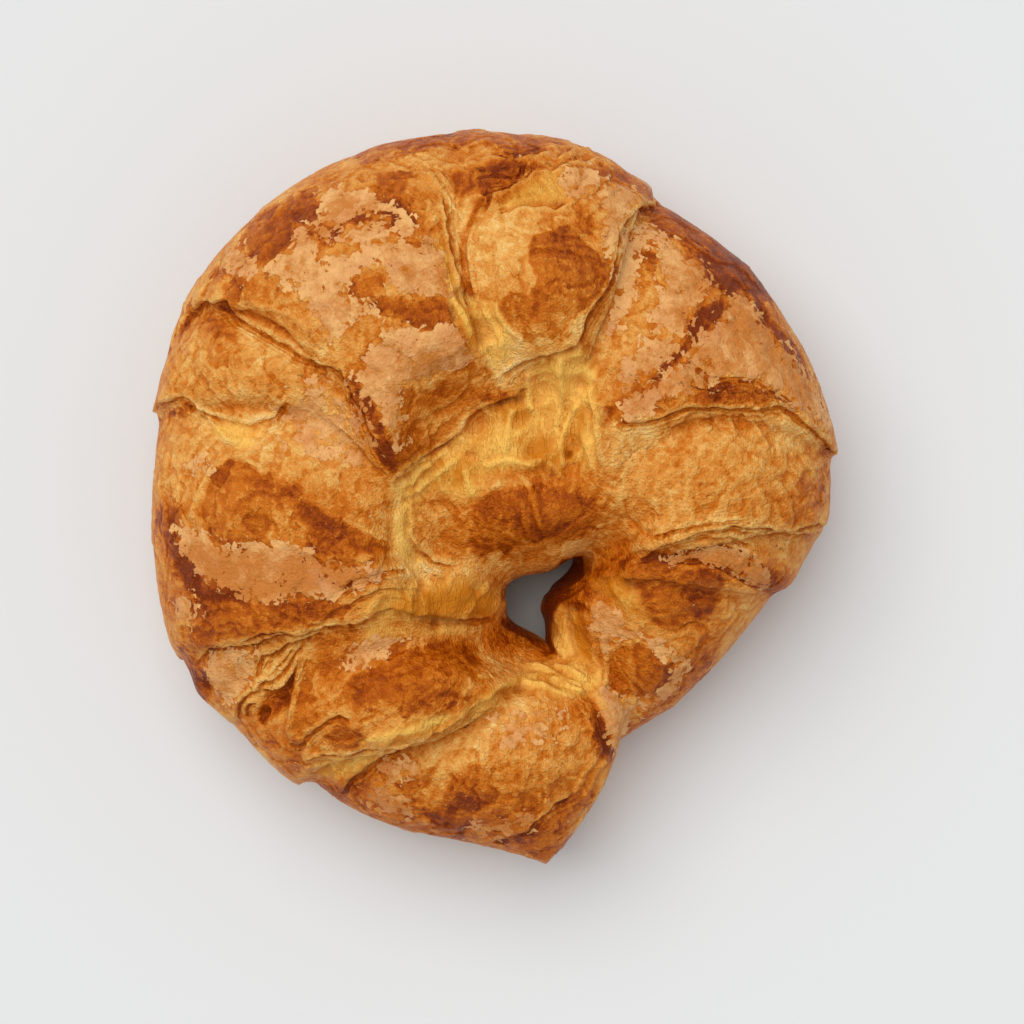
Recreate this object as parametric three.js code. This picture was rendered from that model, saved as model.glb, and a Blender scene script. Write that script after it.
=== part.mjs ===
// A butter croissant curled into a ring: a triangle of laminated dough, rolled up from its wide end,
// bent round until the two horns meet, and baked as one piece. It is one solid with a small hole.
//
// The roll is a chain of wraps. Going round the ring, each wrap is a swollen barrel of dough whose free
// edge is a rounded lip that overhangs the tucked-in start of the next wrap, further from the crown.
// Towards the hole the wraps end in a smooth collar of stretched dough.
// Millimetres, +Z up. The origin is the middle of the footprint, on the table that it lies on.
import * as THREE from "three";
import { ParametricGeometry } from "three/addons/geometries/ParametricGeometry.js";
import { ImprovedNoise } from "three/addons/math/ImprovedNoise.js";
import { mergeVertices } from "three/addons/utils/BufferGeometryUtils.js";

const { degToRad, radToDeg, clamp, lerp, smoothstep, euclideanModulo } = THREE.MathUtils;
const FULL_TURN = 360;

// The wraps, anticlockwise from the joint of the two horns. Angles are degrees about the hole.
// Places across the roll run from -1, at the hole, to 1, at the outer side.
//   steps: mesh steps along the wrap
//   under: the ends that are tucked under a neighbour; its other ends are lips
//   rim:   place across the roll where the collar takes over, at the wrap's start and end
//   from:  angle at which the wrap starts, at the outer side, in mid-roll and at the hole
//   outer: radius of the outer side at the wrap's start, middle and end
//   crest: height of the top at the wrap's start and end, before its ends fall away
const WRAPS = [
  { name: "right_horn", steps: 11, under: "both", rim: [-0.62, -0.55],
    from: [-60, -46, -62], outer: [31, 33.6, 45], crest: [27, 41] },
  { name: "right_leaf", steps: 4, under: "end", rim: [-0.5, -0.5],
    from: [2, 12, 26], outer: [46.4, 50.4, 54.4], crest: [41.5, 42.5] },
  { name: "right_wrap", steps: 9, under: "end", rim: [-0.5, -0.45],
    from: [14, 21.5, 33], outer: [55.4, 58.5, 61.6], crest: [47.5, 49] },
  { name: "right_shoulder", steps: 10, under: "end", rim: [-0.4, -0.1],
    from: [26, 56, 66], outer: [62.6, 70.6, 77.6], crest: [52, 50] },
  { name: "right_crown", steps: 9, under: "end", rim: [-0.08, -0.02],
    from: [72.5, 79, 84], outer: [79.2, 85.6, 87.4], crest: [53.5, 53] },
  { name: "crown", steps: 11, under: "none", rim: [-0.02, -0.28],
    from: [102, 101, 98], outer: [87.4, 87.6, 83.4], crest: [55, 55] },
  { name: "left_crown", steps: 7, under: "start", rim: [-0.2, -0.2],
    from: [138.5, 130.5, 146], outer: [83, 80.2, 77], crest: [51, 50] },
  { name: "left_shoulder", steps: 11, under: "start", rim: [-0.3, -0.55],
    from: [153, 137, 150], outer: [76, 70, 66], crest: [48.5, 47.5] },
  { name: "left_leaf_upper", steps: 3, under: "start", rim: [-0.56, -0.58],
    from: [190, 185, 190], outer: [64.6, 63.4, 62.2], crest: [43, 42.5] },
  { name: "left_leaf_lower", steps: 3, under: "start", rim: [-0.59, -0.61],
    from: [196, 189, 196], outer: [61.8, 60.6, 59.4], crest: [41.5, 41] },
  { name: "left_wrap", steps: 9, under: "start", rim: [-0.62, -0.65],
    from: [203, 194, 202], outer: [59, 56.6, 54.6], crest: [42, 41] },
  { name: "left_horn", steps: 13, under: "start", rim: [-0.65, -0.62],
    from: [218, 233, 284], outer: [51.6, 44.6, 31.6], crest: [38, 31] },
];

// The radius of the hole between the horns, at equal steps of angle from +X round.
const HOLE = [3.4, 4.6, 13, 6.4, 5.2, 4.9, 4.9, 5.2, 5, 4.7, 5, 4.9, 4.7, 4.9, 6, 8.8, 6, 4];

// The pointed corner of dough at the end of the left horn, which tapers off before and after its angle.
const TIP = { wrap: "left_horn", angle: 274, before: 17, after: 30, reach: 8.2, sharpness: 1.2 };

// How the wraps lie on each other.
const BELLY = 2.4; // a wrap's middle stands this far above its lips
const TUCK = 3.4; // and this far above its tucked-in ends
const SWOLLEN_WIDTH = 14; // a narrower wrap swells less in proportion
const LIP_ROUND = 1.5; // radius of a lip's edge
const LIP_SHARE = 0.16; // share of the wrap over which the lip curls down
const OVERHANG = 1.1; // reach of a lip over the wrap below it
const OVERHANG_LIFT = [0.15, 0.7]; // lips begin and are full at these shares of the roll's top
const OVERHANG_FADE = 4; // a power, above 1 so that lips end before their wraps do
const SEAM = 0.5; // width of the flat seam between wraps on the underside
const EDGE_MOST = 0.15; // the most that either takes of the lower wrap, where that is narrow
const WANDER = { reach: 1.3, waves: 1.7, phase: 2.4 }; // degrees by which edges stray, and how often
const RIM = { column: -0.3, width: 0.26 }; // mesh line along the rims, and how fast wraps end there
const RIM_WANDER = { reach: 0.12, waves: 17 }; // how far the rims stray, and how often in a turn
const COLLAR = { mean: 38, swing: 9, angle: 105 }; // crest of the collar, highest at its angle

// The cross-section of the roll.
const TOP_SQUARENESS = 2.3; // a power of 2 would be an ellipse
const BASE_SQUARENESS = 2.2;
const WAIST = 0.4; // height of the widest level, as a share of the crest
const SINK = 3.2; // how much of the round underside the baking tray has flattened

// Swellings and hollows in the top, as [east, north, half-length, half-width, turn, height] from the hole.
const KNOBS = [
  [1, 16, 10, 6, 8, 5], // brown knob above the hole
  [-16, 18, 14, 5.5, 75, -4], // pale valley beside the crown's tip
  [3, 34, 13, 6, 0, -4], // pale valley below the right crown
  [-10, 1, 9, 3.6, 0, 3.4], // end of the left shoulder, beside the hole
  [-54, 17, 6.5, 6, 0, 1.8], // blister on the left shoulder
  [-20, -15, 13, 6, 20, 2.2], // brown swelling of the left wrap
  [-2, -30, 10, 8, 0, 2], // dome of the left horn
  [5, 58, 11, 12, 0, 2], // dome of the right crown
];

// Unevenness of the crust, as [size of the lumps, depth].
const LUMPS = [[16, 1.5], [7, 0.7]];

const COLUMNS = 52; // mesh steps round the roll
const TOP_SHARE = 0.75; // the share of them above the waist
const WELD = 1e-4;
const CRUST = { color: 0xc07d35, roughness: 0.6, metalness: 0 };

// The parabola through three values, for x from 0 to 1.
function throughThree([start, middle, end], x) {
  const bend = 2 * (start - 2 * middle + end);
  return start + (end - start - bend) * x + bend * x * x;
}

// The rise of a superellipse at a place across it, and the place at a share of the way round its half turn.
function riseAt(across, squareness) {
  return Math.pow(Math.max(1 - Math.pow(Math.abs(across), squareness), 0), 1 / squareness);
}
function placeAt(share, squareness) {
  const straight = Math.cos(Math.PI * share);
  return Math.sign(straight) * Math.pow(Math.abs(straight), 2 / squareness);
}

// Slides a place across the roll, so that the rims' mesh line comes to lie at the rim.
function slideToRim(across, rim) {
  if (across < RIM.column) return lerp(-1, rim, (across + 1) / (RIM.column + 1));
  return lerp(rim, 1, (across - RIM.column) / (1 - RIM.column));
}

// Where a column lies on the cross-section: its place across, and its share of the way up or down.
function section(v, rim) {
  if (v < TOP_SHARE) {
    const across = slideToRim(placeAt(v / TOP_SHARE, TOP_SQUARENESS), rim);
    return { across, lift: riseAt(across, TOP_SQUARENESS), drop: 0 };
  }
  const across = -placeAt((v - TOP_SHARE) / (1 - TOP_SHARE), BASE_SQUARENESS);
  return { across, lift: 0, drop: riseAt(across, BASE_SQUARENESS) };
}

function holeRadius(degrees) {
  const at = (euclideanModulo(degrees, FULL_TURN) / FULL_TURN) * HOLE.length;
  const index = Math.floor(at);
  return lerp(HOLE[index % HOLE.length], HOLE[(index + 1) % HOLE.length], smoothstep(at - index, 0, 1));
}

// The angle at which a wrap starts, across the roll. The wrap after the last is the first, a turn later.
function startAngle(index, across) {
  const turns = Math.floor(index / WRAPS.length);
  const home = index - turns * WRAPS.length;
  const [outer, middle, hole] = WRAPS[home].from;
  const stray = WANDER.reach * Math.sin(Math.PI * WANDER.waves * across + WANDER.phase * home);
  return throughThree([hole, middle, outer], (across + 1) / 2) + stray + turns * FULL_TURN;
}

// The place on the edge where a wrap starts with the radius of a place across a neighbour, so that the
// wraps on both sides share one edge line. The neighbour's own outer radius at that edge is given.
function placeOnEdge(index, across, ownOuter, hole) {
  const before = WRAPS[(index + WRAPS.length - 1) % WRAPS.length].outer[2];
  const after = WRAPS[index % WRAPS.length].outer[0];
  return ((across + 1) * (ownOuter - hole)) / ((before + after) / 2 - hole) - 1;
}

function tuckedAt(wrap, end) {
  return wrap.under === end || wrap.under === "both";
}

// How far an end of a wrap reaches past its edge, in degrees, given how much the overhang counts here.
function edgeShift(index, end, across, radius, overhang) {
  const tucked = tuckedAt(WRAPS[index], end);
  const neighbour = (index + (end === "end" ? 1 : WRAPS.length - 1)) % WRAPS.length;
  const lower = tucked ? index : neighbour;
  const most = EDGE_MOST * (startAngle(lower + 1, across) - startAngle(lower, across));
  if (tucked) return -(1 - overhang) * Math.min(radToDeg(SEAM / radius), most);
  return overhang * Math.min(radToDeg(OVERHANG / radius), most);
}

// How much lower a wrap is at a share of its width than in its middle.
function fall(wrap, share, width) {
  const end = share < 0.5 ? "start" : "end";
  const off = Math.abs(2 * share - 1);
  const swollen = Math.min(width / SWOLLEN_WIDTH, 1);
  if (tuckedAt(wrap, end)) return swollen * TUCK * off * off;
  const curl = clamp((off - 1 + 2 * LIP_SHARE) / (2 * LIP_SHARE), 0, 1);
  return swollen * (BELLY * off * off + LIP_ROUND * (1 - Math.sqrt(1 - curl * curl)));
}

function knobHeight(x, y) {
  return KNOBS.reduce((sum, [east, north, long, wide, turn, height]) => {
    const p = new THREE.Vector2(x - east, y - north).rotateAround(new THREE.Vector2(), -degToRad(turn));
    return sum + height * Math.exp(-((p.x / long) ** 2) - (p.y / wide) ** 2);
  }, 0);
}

const noise = new ImprovedNoise();
function lumpHeight({ x, y, z }) {
  return LUMPS.reduce((sum, [size, depth]) => sum + depth * noise.noise(x / size, y / size, z / size), 0);
}

function rimStray(index, share) {
  const degrees = lerp(startAngle(index, 0), startAngle(index + 1, 0), share);
  return RIM_WANDER.reach * noise.noise((RIM_WANDER.waves * degrees) / FULL_TURN, 0, 0);
}

function tipReach(degrees) {
  const off = degrees - TIP.angle;
  const taper = clamp(1 - Math.abs(off) / (off < 0 ? TIP.before : TIP.after), 0, 1);
  return TIP.reach * Math.pow(taper, TIP.sharpness);
}

// A point of one wrap: share runs along the wrap, and v round the roll.
function wrapPoint(index, share, v, target) {
  const wrap = WRAPS[index];
  const rim = lerp(...wrap.rim, share) + rimStray(index, share);
  const { across, lift, drop } = section(v, rim);
  const nominal = lerp(startAngle(index, across), startAngle(index + 1, across), share);
  const wrapped = smoothstep(across, rim - RIM.width / 2, rim + RIM.width / 2);

  const tip = wrap.name === TIP.wrap ? tipReach(nominal) * smoothstep(across, 0, 1) : 0;
  const hole = holeRadius(nominal);
  const outer = throughThree(wrap.outer, share) + tip;
  const radius = lerp(hole, outer, (across + 1) / 2);
  const begin = startAngle(index, placeOnEdge(index, across, wrap.outer[0], hole));
  const end = startAngle(index + 1, placeOnEdge(index + 1, across, wrap.outer[2], hole));

  const overhang = Math.pow(wrapped, OVERHANG_FADE) * smoothstep(lift, ...OVERHANG_LIFT);
  const pastStart = edgeShift(index, "start", across, radius, overhang);
  const pastEnd = edgeShift(index, "end", across, radius, overhang);
  const angle = degToRad(lerp(begin - pastStart, end + pastEnd, share));

  const collar = COLLAR.mean + COLLAR.swing * Math.cos(degToRad(nominal - COLLAR.angle));
  const width = degToRad(end - begin) * radius;
  const crest = lerp(collar, lerp(...wrap.crest, share) - fall(wrap, share, width), wrapped);
  const waist = WAIST * crest;
  target.set(radius * Math.cos(angle), radius * Math.sin(angle), waist + (crest - waist) * lift);
  target.z += lift * (knobHeight(target.x, target.y) + lumpHeight(target)) - drop * (waist + SINK);
  target.z = Math.max(target.z, 0);
  return target;
}

// A point of the whole ring. After each wrap, one more step goes down its lip to the next wrap.
const stepCount = WRAPS.reduce((sum, wrap) => sum + wrap.steps + 1, 0);
function ringPoint(u, v, target) {
  let step = (u % 1) * stepCount;
  let index = 0;
  while (step >= WRAPS[index].steps + 1) step -= WRAPS[index++].steps + 1;
  const { steps } = WRAPS[index];
  const even = Math.min(step / steps, 1);
  const share = (1 - Math.cos(Math.PI * even)) / 2; // shorter steps near the lips
  wrapPoint(index, share, v % 1, target);
  const riser = Math.max(step - steps, 0);
  if (riser > 0) target.lerp(wrapPoint((index + 1) % WRAPS.length, 0, v % 1, new THREE.Vector3()), riser);
  return target;
}

// The ring as one closed mesh, with its footprint centred on the origin.
function croissantGeometry() {
  const sheet = new ParametricGeometry(ringPoint, stepCount, COLUMNS);
  sheet.deleteAttribute("normal");
  sheet.deleteAttribute("uv");
  const closed = mergeVertices(sheet, WELD);
  closed.computeBoundingBox();
  const middle = closed.boundingBox.getCenter(new THREE.Vector3());
  closed.translate(-middle.x, -middle.y, -closed.boundingBox.min.z);
  closed.computeVertexNormals();
  return closed;
}

const croissant = new THREE.Mesh(croissantGeometry(), new THREE.MeshStandardMaterial(CRUST));
croissant.name = "croissant";

const part = new THREE.Group();
part.add(croissant);

export default part;
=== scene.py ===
import math

import bmesh
import bpy
import numpy as np
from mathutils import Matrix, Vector, noise


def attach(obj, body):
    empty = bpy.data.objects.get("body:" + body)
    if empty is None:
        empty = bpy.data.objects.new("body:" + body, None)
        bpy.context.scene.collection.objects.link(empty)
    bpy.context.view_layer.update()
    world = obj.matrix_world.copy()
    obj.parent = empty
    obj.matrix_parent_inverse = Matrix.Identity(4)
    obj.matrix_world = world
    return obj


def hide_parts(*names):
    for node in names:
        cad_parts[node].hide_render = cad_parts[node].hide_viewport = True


MM = 0.001

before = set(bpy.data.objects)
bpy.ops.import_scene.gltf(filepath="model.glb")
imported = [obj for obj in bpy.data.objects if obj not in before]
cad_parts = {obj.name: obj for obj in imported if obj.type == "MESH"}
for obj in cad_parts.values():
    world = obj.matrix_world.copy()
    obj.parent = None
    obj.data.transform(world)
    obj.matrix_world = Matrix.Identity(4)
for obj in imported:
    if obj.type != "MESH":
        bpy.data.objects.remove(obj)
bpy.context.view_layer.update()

# The photograph: its size, the camera that it is seen with, and the point of the table below the camera.
PHOTO = 1024
LENS_MM = 100
SENSOR_MM = 36
CLIP = (0.01, 10)  # m
CAMERA_HEIGHT = 542.8
CAMERA_XY = (3.22, -2.67)
FOCAL_PX = PHOTO * LENS_MM / SENSOR_MM
MM_PER_PX = 0.184
HOLE_XY = (6.54, -19.25)  # mm, the middle of the ring's hole
HOLE_PIXEL = (530, 602)

# The floor, the even light of the room and the wide soft light from the upper left.
FLOOR_HALF = 4  # m
FLOOR_COLOUR = (0.77, 0.784, 0.79)
FLOOR_ROUGHNESS = 0.8
ROOM_LIGHT = 0.52
KEY_LIGHT = 1.82
KEY_ANGLE = 55  # degrees
KEY_COLOUR = (1, 0.995, 0.985)
KEY_DIRECTION = (0.30, -0.43, -1)

# The mesh.
WELD = 1e-3  # mm, between corners that are one
VOXEL = 0.5  # mm, of the even mesh that the crust is shaped on
MOST_TRIANGLES = 190_000
FAR = 99.0  # mm, a distance at which no line counts

# How far the surface faces the camera, as the cosine of the angle: where each kind of relief starts, and
# where it is in full.
SEEN = (0.05, 0.4)
SMOOTHED = (-0.2, 0.2)
LIPS_SEEN = (-0.25, 0.3)
HOLLOWS_SEEN = (0.05, 0.5)
SIDES_SEEN = (0.1, -0.35)
PAINT_SEEN = (-0.2, 0.1)

# Smoothing: how much of it a round does, and over which depths in pixels a place fades in.
SMOOTH_SHARE = 0.6
SMOOTH_EDGE = (-6, 12)

# Noise: each octave is so many times finer than the one before, and weaker by that to the power of the fall.
OCTAVE_FINENESS = 2
OCTAVE_FALL = 1

# Noise that lets lines stray: how far and how large in mm, octaves.
LIP_STRAY = (0.5, 4, 3)
STRAND_STRAY = (0.25, 3, 2)
SIDE_STRAY = (1.2, 12, 2)

# Lines: the share of their length in which they fade at the ends, how sharp a leaf edge is in mm, how much
# of a hollow is left on the sides, how far lines are felt in mm, and by how many mm the nearest has to lead.
END_FADE = 0.12
LIP_SHARP = 0.3
LEAST_HOLLOW = 0.35
LIP_REACH = 4
STRAND_REACH = 2
LEAD = (0.1, 0.9)
SIDE_STARTS = (20, 26)  # mm from the hole's middle, where the leaf edges on the sides fade in

# How far past a line or a patch the surface is looked at, in its reaches or its softness.
LINE_MARGIN = 4
NEAREST_MARGIN = 3
PATCH_MARGIN = 2

# The lines of the sides take over where half of the surface is seen, and all lines fade there.
HALF_SEEN = 0.5
TAKEOVER = 0.3

# Relief all over the crust: height and size in mm. The sides have the given share of it.
LUMPS = {"large": (0.35, 8), "small": (0.06, 2.2)}
LEAST_RELIEF = 0.35

# Creases: height in mm, how fine round the ring, how fine outwards. Crackle: height and size in mm. Folds are
# noise without its sign, less its mean.
FINE_CREASES = (0.1, 30, 0.09)
CREASES = (0.2, 13, 0.11)
CREASE_BEND = (1.5, 14)  # how far, and size in mm
CRACKLE = (0.1, 4)
FOLD_MEAN = 0.25

# Thin leaves that lie on each other: height and size in mm, how many to a lump. Their edges wander by a share
# of noise of a part of the size, drop in the last share of each leaf, and are set lower by their mean.
LEDGES = {"large": (0.4, 17, 2.2), "small": (0.3, 8, 1.6)}
LEDGE_WANDER = 0.12
LEDGE_WANDER_PART = 5
LEDGE_DROP = 0.12
LEDGE_MEAN = 0.45

# Stretched dough: how it fades in, its web of strands and its pits, in mm where they are sizes.
DOUGH_EDGE = (-1, 0.5)
DOUGH_DEPTH = 0.1
WEB_SIZE = 7
WEB_WIDTH = 0.3
WEB_HEIGHT = 0.6
PIT_SIZE = 5.5
PIT_EDGE = (0.15, 0.5)
PIT_DEPTH = 0.9

DOME_ROUNDNESS = 1.5
SIDE_INSET = 0.15  # mm, so that the lumps on the sides keep to the outline
ABOVE_TABLE = (0.5, 4)  # mm, over which the relief starts

# Patches: the field far outside one, and how dark the crust is where none is.
OUTSIDE = -1.5
PLAIN_TONE = 0.4

# The unseen sides: brown streaks that grow upwards, a few scraps of skin, and paler walls in the hole.
SIDE_STREAKS = (1.3, 9, 0.05)  # strength, how fine round the ring, how fine outwards
SIDE_BROWN_RISE = 0.6
SIDE_BROWN_HEIGHTS = (8, 30)  # mm
SIDE_BROWN_BASE = -0.4
SIDE_TONE = 0.55
SIDE_SKIN = (1.6, 15)  # strength, size in mm
SIDE_SKIN_BASE = -1.5
HOLE_WALLS = (22, 14)  # mm from the hole's middle
HOLE_WALLS_SHADE = -0.5

# Fields of the mesh: rounds of smoothing that show what stands out, sizes of the tones' noise in mm.
BULGE_ROUNDS = 3
SWELL_ROUNDS = 40
WIDE_SIZE = 14
MIDDLE_SIZE = 4.5

# Places where the roll is smooth in the photograph: how many rounds of smoothing, corners in its pixels.
SMOOTH_PLACES = {
    "everywhere": (24, [(100, 100), (900, 100), (900, 900), (100, 900)]),
    "left_of_the_flap": (160, [(285, 405), (330, 385), (385, 470), (425, 500), (405, 520), (350, 490)]),
    "start_of_the_right_lip": (200, [
        (590, 430), (650, 428), (690, 430), (640, 500), (600, 515), (585, 480)]),
    "below_the_knob": (120, [(570, 500), (650, 480), (650, 540), (600, 545)]),
    "joint_of_the_horns": (120, [(555, 640), (600, 645), (640, 690), (630, 730), (600, 690)]),
    "left_bottom": (80, [(276, 752), (318, 762), (352, 786), (336, 820), (280, 804)]),
    "left_low": (60, [(156, 636), (196, 646), (206, 680), (184, 700), (156, 672)]),
    "centre": (120, [(395, 400), (460, 350), (560, 340), (600, 380), (600, 480), (480, 480), (420, 560)]),
}

# Raised leaf edges: height and hollow in mm, reach on the high and the low side in mm, points in the
# photograph's pixels. The high side is on the left hand of someone who walks along the points.
LIPS = {
    "crown": (0.7, 0.9, 3.0, 2.2, [
        (158, 364), (178, 330), (190, 312), (205, 303), (227, 301), (236, 316), (269, 334), (309, 359),
        (341, 371), (352, 392), (361, 408), (379, 450), (392, 474)]),
    "crown_inner": (0.4, 0.8, 2.4, 2.0, [
        (388, 486), (404, 468), (424, 458), (446, 446), (460, 434), (466, 420), (482, 408), (500, 402),
        (516, 396), (532, 380)]),
    "left_crown": (0.5, 0.8, 2.2, 1.8, [
        (138, 448), (152, 418), (160, 402), (182, 398), (212, 416), (249, 424), (274, 418), (289, 396)]),
    "left_shoulder": (0.6, 1.0, 2.4, 2.2, [
        (194, 672), (201, 656), (212, 647), (247, 643), (283, 635), (322, 628), (363, 618), (400, 612),
        (440, 618), (500, 619)]),
    "left_shoulder_upper": (0.5, 0.5, 2.0, 1.2, [(239, 640), (262, 633), (281, 631), (302, 632)]),
    "leaf_one": (0.7, 0.9, 1.0, 0.8, [
        (254, 680), (257, 666), (262, 657), (272, 654), (280, 649), (288, 644), (304, 640), (326, 634)]),
    "leaf_two": (0.7, 0.9, 1.0, 0.8, [
        (250, 684), (256, 690), (263, 683), (271, 680), (279, 673), (285, 667), (291, 659), (297, 650),
        (303, 644)]),
    "leaf_between": (0.5, 0.6, 0.8, 0.7, [(268, 676), (276, 668), (282, 661), (288, 654), (294, 647)]),
    "leaf_three": (0.7, 1.4, 1.2, 1.4, [
        (258, 691), (272, 693), (281, 688), (287, 682), (293, 674), (297, 663), (299, 654)]),
    "leaf_curl": (0.7, 0.9, 0.9, 0.8, [
        (240, 722), (237, 712), (239, 703), (243, 696), (251, 692), (262, 690)]),
    "leaf_curl_inner": (0.5, 0.6, 0.7, 0.6, [(246, 718), (245, 709), (250, 703), (257, 702)]),
    "leaf_four": (0.4, 0.8, 1.4, 1.4, [
        (286, 745), (299, 742), (312, 731), (324, 721), (338, 716), (352, 722)]),
    "left_wrap_upper": (0.4, 0.7, 1.6, 1.2, [(300, 762), (322, 757), (350, 752), (380, 748), (420, 744)]),
    "left_wrap": (0.8, 1.1, 2.6, 2.2, [
        (338, 800), (346, 786), (366, 766), (385, 752), (412, 744), (440, 731), (470, 712), (500, 690),
        (530, 682)]),
    "seam_left": (0.3, 0.6, 1.4, 1.0, [
        (500, 372), (482, 345), (466, 312), (455, 270), (446, 230), (441, 190)]),
    "right_crown": (0.7, 1.0, 2.4, 2.0, [
        (560, 352), (577, 346), (584, 322), (592, 302), (606, 288), (614, 268), (618, 248), (622, 232),
        (630, 218), (640, 208), (656, 203), (676, 198)]),
    "right_crown_low": (0.6, 0.8, 1.8, 1.6, [(500, 376), (516, 366), (538, 357), (562, 352), (580, 344)]),
    "right_crown_top": (0.8, 1.2, 1.4, 1.4, [
        (600, 160), (580, 160), (560, 165), (545, 168), (534, 168), (524, 179), (508, 188), (494, 194),
        (484, 216)]),
    "top_flake_low": (0.9, 1.0, 0.9, 0.8, [
        (530, 158), (525, 165), (522, 174), (512, 178), (497, 176), (487, 178), (474, 184)]),
    "top_flake_middle": (0.8, 0.9, 0.9, 0.8, [(550, 146), (535, 153), (520, 156), (505, 155), (490, 156)]),
    "top_flake_edge": (0.9, 0.9, 0.9, 0.8, [(620, 170), (600, 160), (587, 148), (575, 147), (556, 154)]),
    "right_crown_crack": (0.35, 0.5, 1.0, 0.8, [
        (568, 200), (556, 209), (540, 206), (518, 207), (498, 215)]),
    "right_shoulder": (0.6, 0.65, 2.4, 1.6, [
        (612, 412), (626, 421), (644, 423), (663, 416), (681, 409), (706, 406), (730, 409), (757, 408),
        (782, 407), (796, 414), (808, 426), (824, 440), (837, 456), (858, 490)]),
    "right_shoulder_leaf": (0.3, 0.3, 1.4, 1.0, [
        (686, 356), (697, 365), (711, 378), (726, 378), (745, 376), (764, 381), (778, 391), (798, 409)]),
    "right_wrap": (0.6, 0.9, 2.4, 1.8, [
        (622, 556), (640, 551), (673, 541), (708, 530), (748, 527), (790, 531), (823, 524), (856, 520)]),
    "right_wrap_leaf": (0.4, 0.6, 1.2, 1.0, [(650, 552), (676, 545), (702, 537), (730, 538), (752, 545)]),
    "lamination_a": (0.35, 0.3, 0.8, 0.7, [(634, 560), (660, 551), (690, 543), (716, 538), (740, 540)]),
    "lamination_b": (0.35, 0.3, 0.8, 0.7, [(638, 552), (668, 543), (696, 535), (730, 531), (760, 534)]),
    "lamination_c": (0.3, 0.25, 0.8, 0.7, [(650, 536), (680, 528), (712, 522), (744, 520)]),
    "right_flake": (0.4, 0.3, 1.4, 0.9, [
        (776, 592), (764, 591), (740, 581), (722, 570), (700, 563), (662, 565)]),
    "right_flake_top": (0.3, 0.3, 1.2, 1.0, [
        (662, 557), (680, 552), (700, 547), (722, 545), (742, 548), (766, 566)]),
    "ring": (0.6, 0.7, 1.4, 1.2, [
        (414, 470), (410, 490), (408, 512), (410, 534), (418, 550), (434, 560), (456, 566)]),
    "left_leaf": (0.3, 0.5, 1.2, 1.0, [(338, 592), (352, 582), (368, 576), (388, 570), (405, 566)]),
    "left_leaf_low": (0.3, 0.5, 1.2, 1.0, [(345, 606), (362, 597), (380, 590), (400, 588), (425, 590)]),
    "horn_rim": (0.5, 0.9, 1.6, 1.6, [
        (462, 836), (480, 840), (502, 838), (526, 828), (548, 812), (575, 790)]),
}

# Leaf edges that go down the sides: height and hollow in mm, which way round the ring the high side lies
# (1 is anticlockwise), how far an edge leans for each mm of height, and where it crosses the outline, in
# pixels.
SIDE_LIPS = {
    "crown": (0.9, 1.3, -1, 0.2, (170, 340)),
    "left_crown": (0.7, 1.0, -1, 0.15, (154, 415)),
    "left_band": (0.6, 0.9, -1, 0.25, (156, 545)),
    "left_shoulder": (0.4, 0.6, -1, 0.2, (186, 676)),
    "fan": (0.6, 0.9, -1, 0.3, (244, 742)),
    "left_wrap": (0.4, 0.6, -1, 0.2, (334, 800)),
    "horn": (0.6, 0.9, -1, 0.3, (430, 838)),
    "back_left": (0.6, 0.8, -1, 0.35, (262, 215)),
    "back_middle": (0.6, 0.8, -1, 0.3, (360, 152)),
    "seam_left": (0.5, 0.8, -1, 0.15, (452, 131)),
    "seam_right": (0.5, 0.8, 1, -0.15, (486, 131)),
    "back_right": (0.6, 0.8, 1, 0.3, (572, 143)),
    "right_crown": (0.7, 1.0, 1, 0.15, (656, 202)),
    "right_edge": (0.6, 0.8, 1, 0.35, (748, 268)),
    "right_side": (0.6, 0.9, 1, 0.2, (812, 366)),
    "right_shoulder": (0.6, 0.8, 1, 0.2, (837, 458)),
    "right_wrap": (0.9, 1.3, 1, 0.1, (828, 522)),
    "right_flake": (0.8, 1.2, 1, 0.2, (776, 590)),
    "right_horn": (0.6, 0.9, 1, 0.3, (700, 672)),
}
SIDE_MIDDLE = 25  # mm above the table, where the sides have the outline
SIDE_REACHES = (9.0, 4.0)  # mm, on the high and the low side

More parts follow.
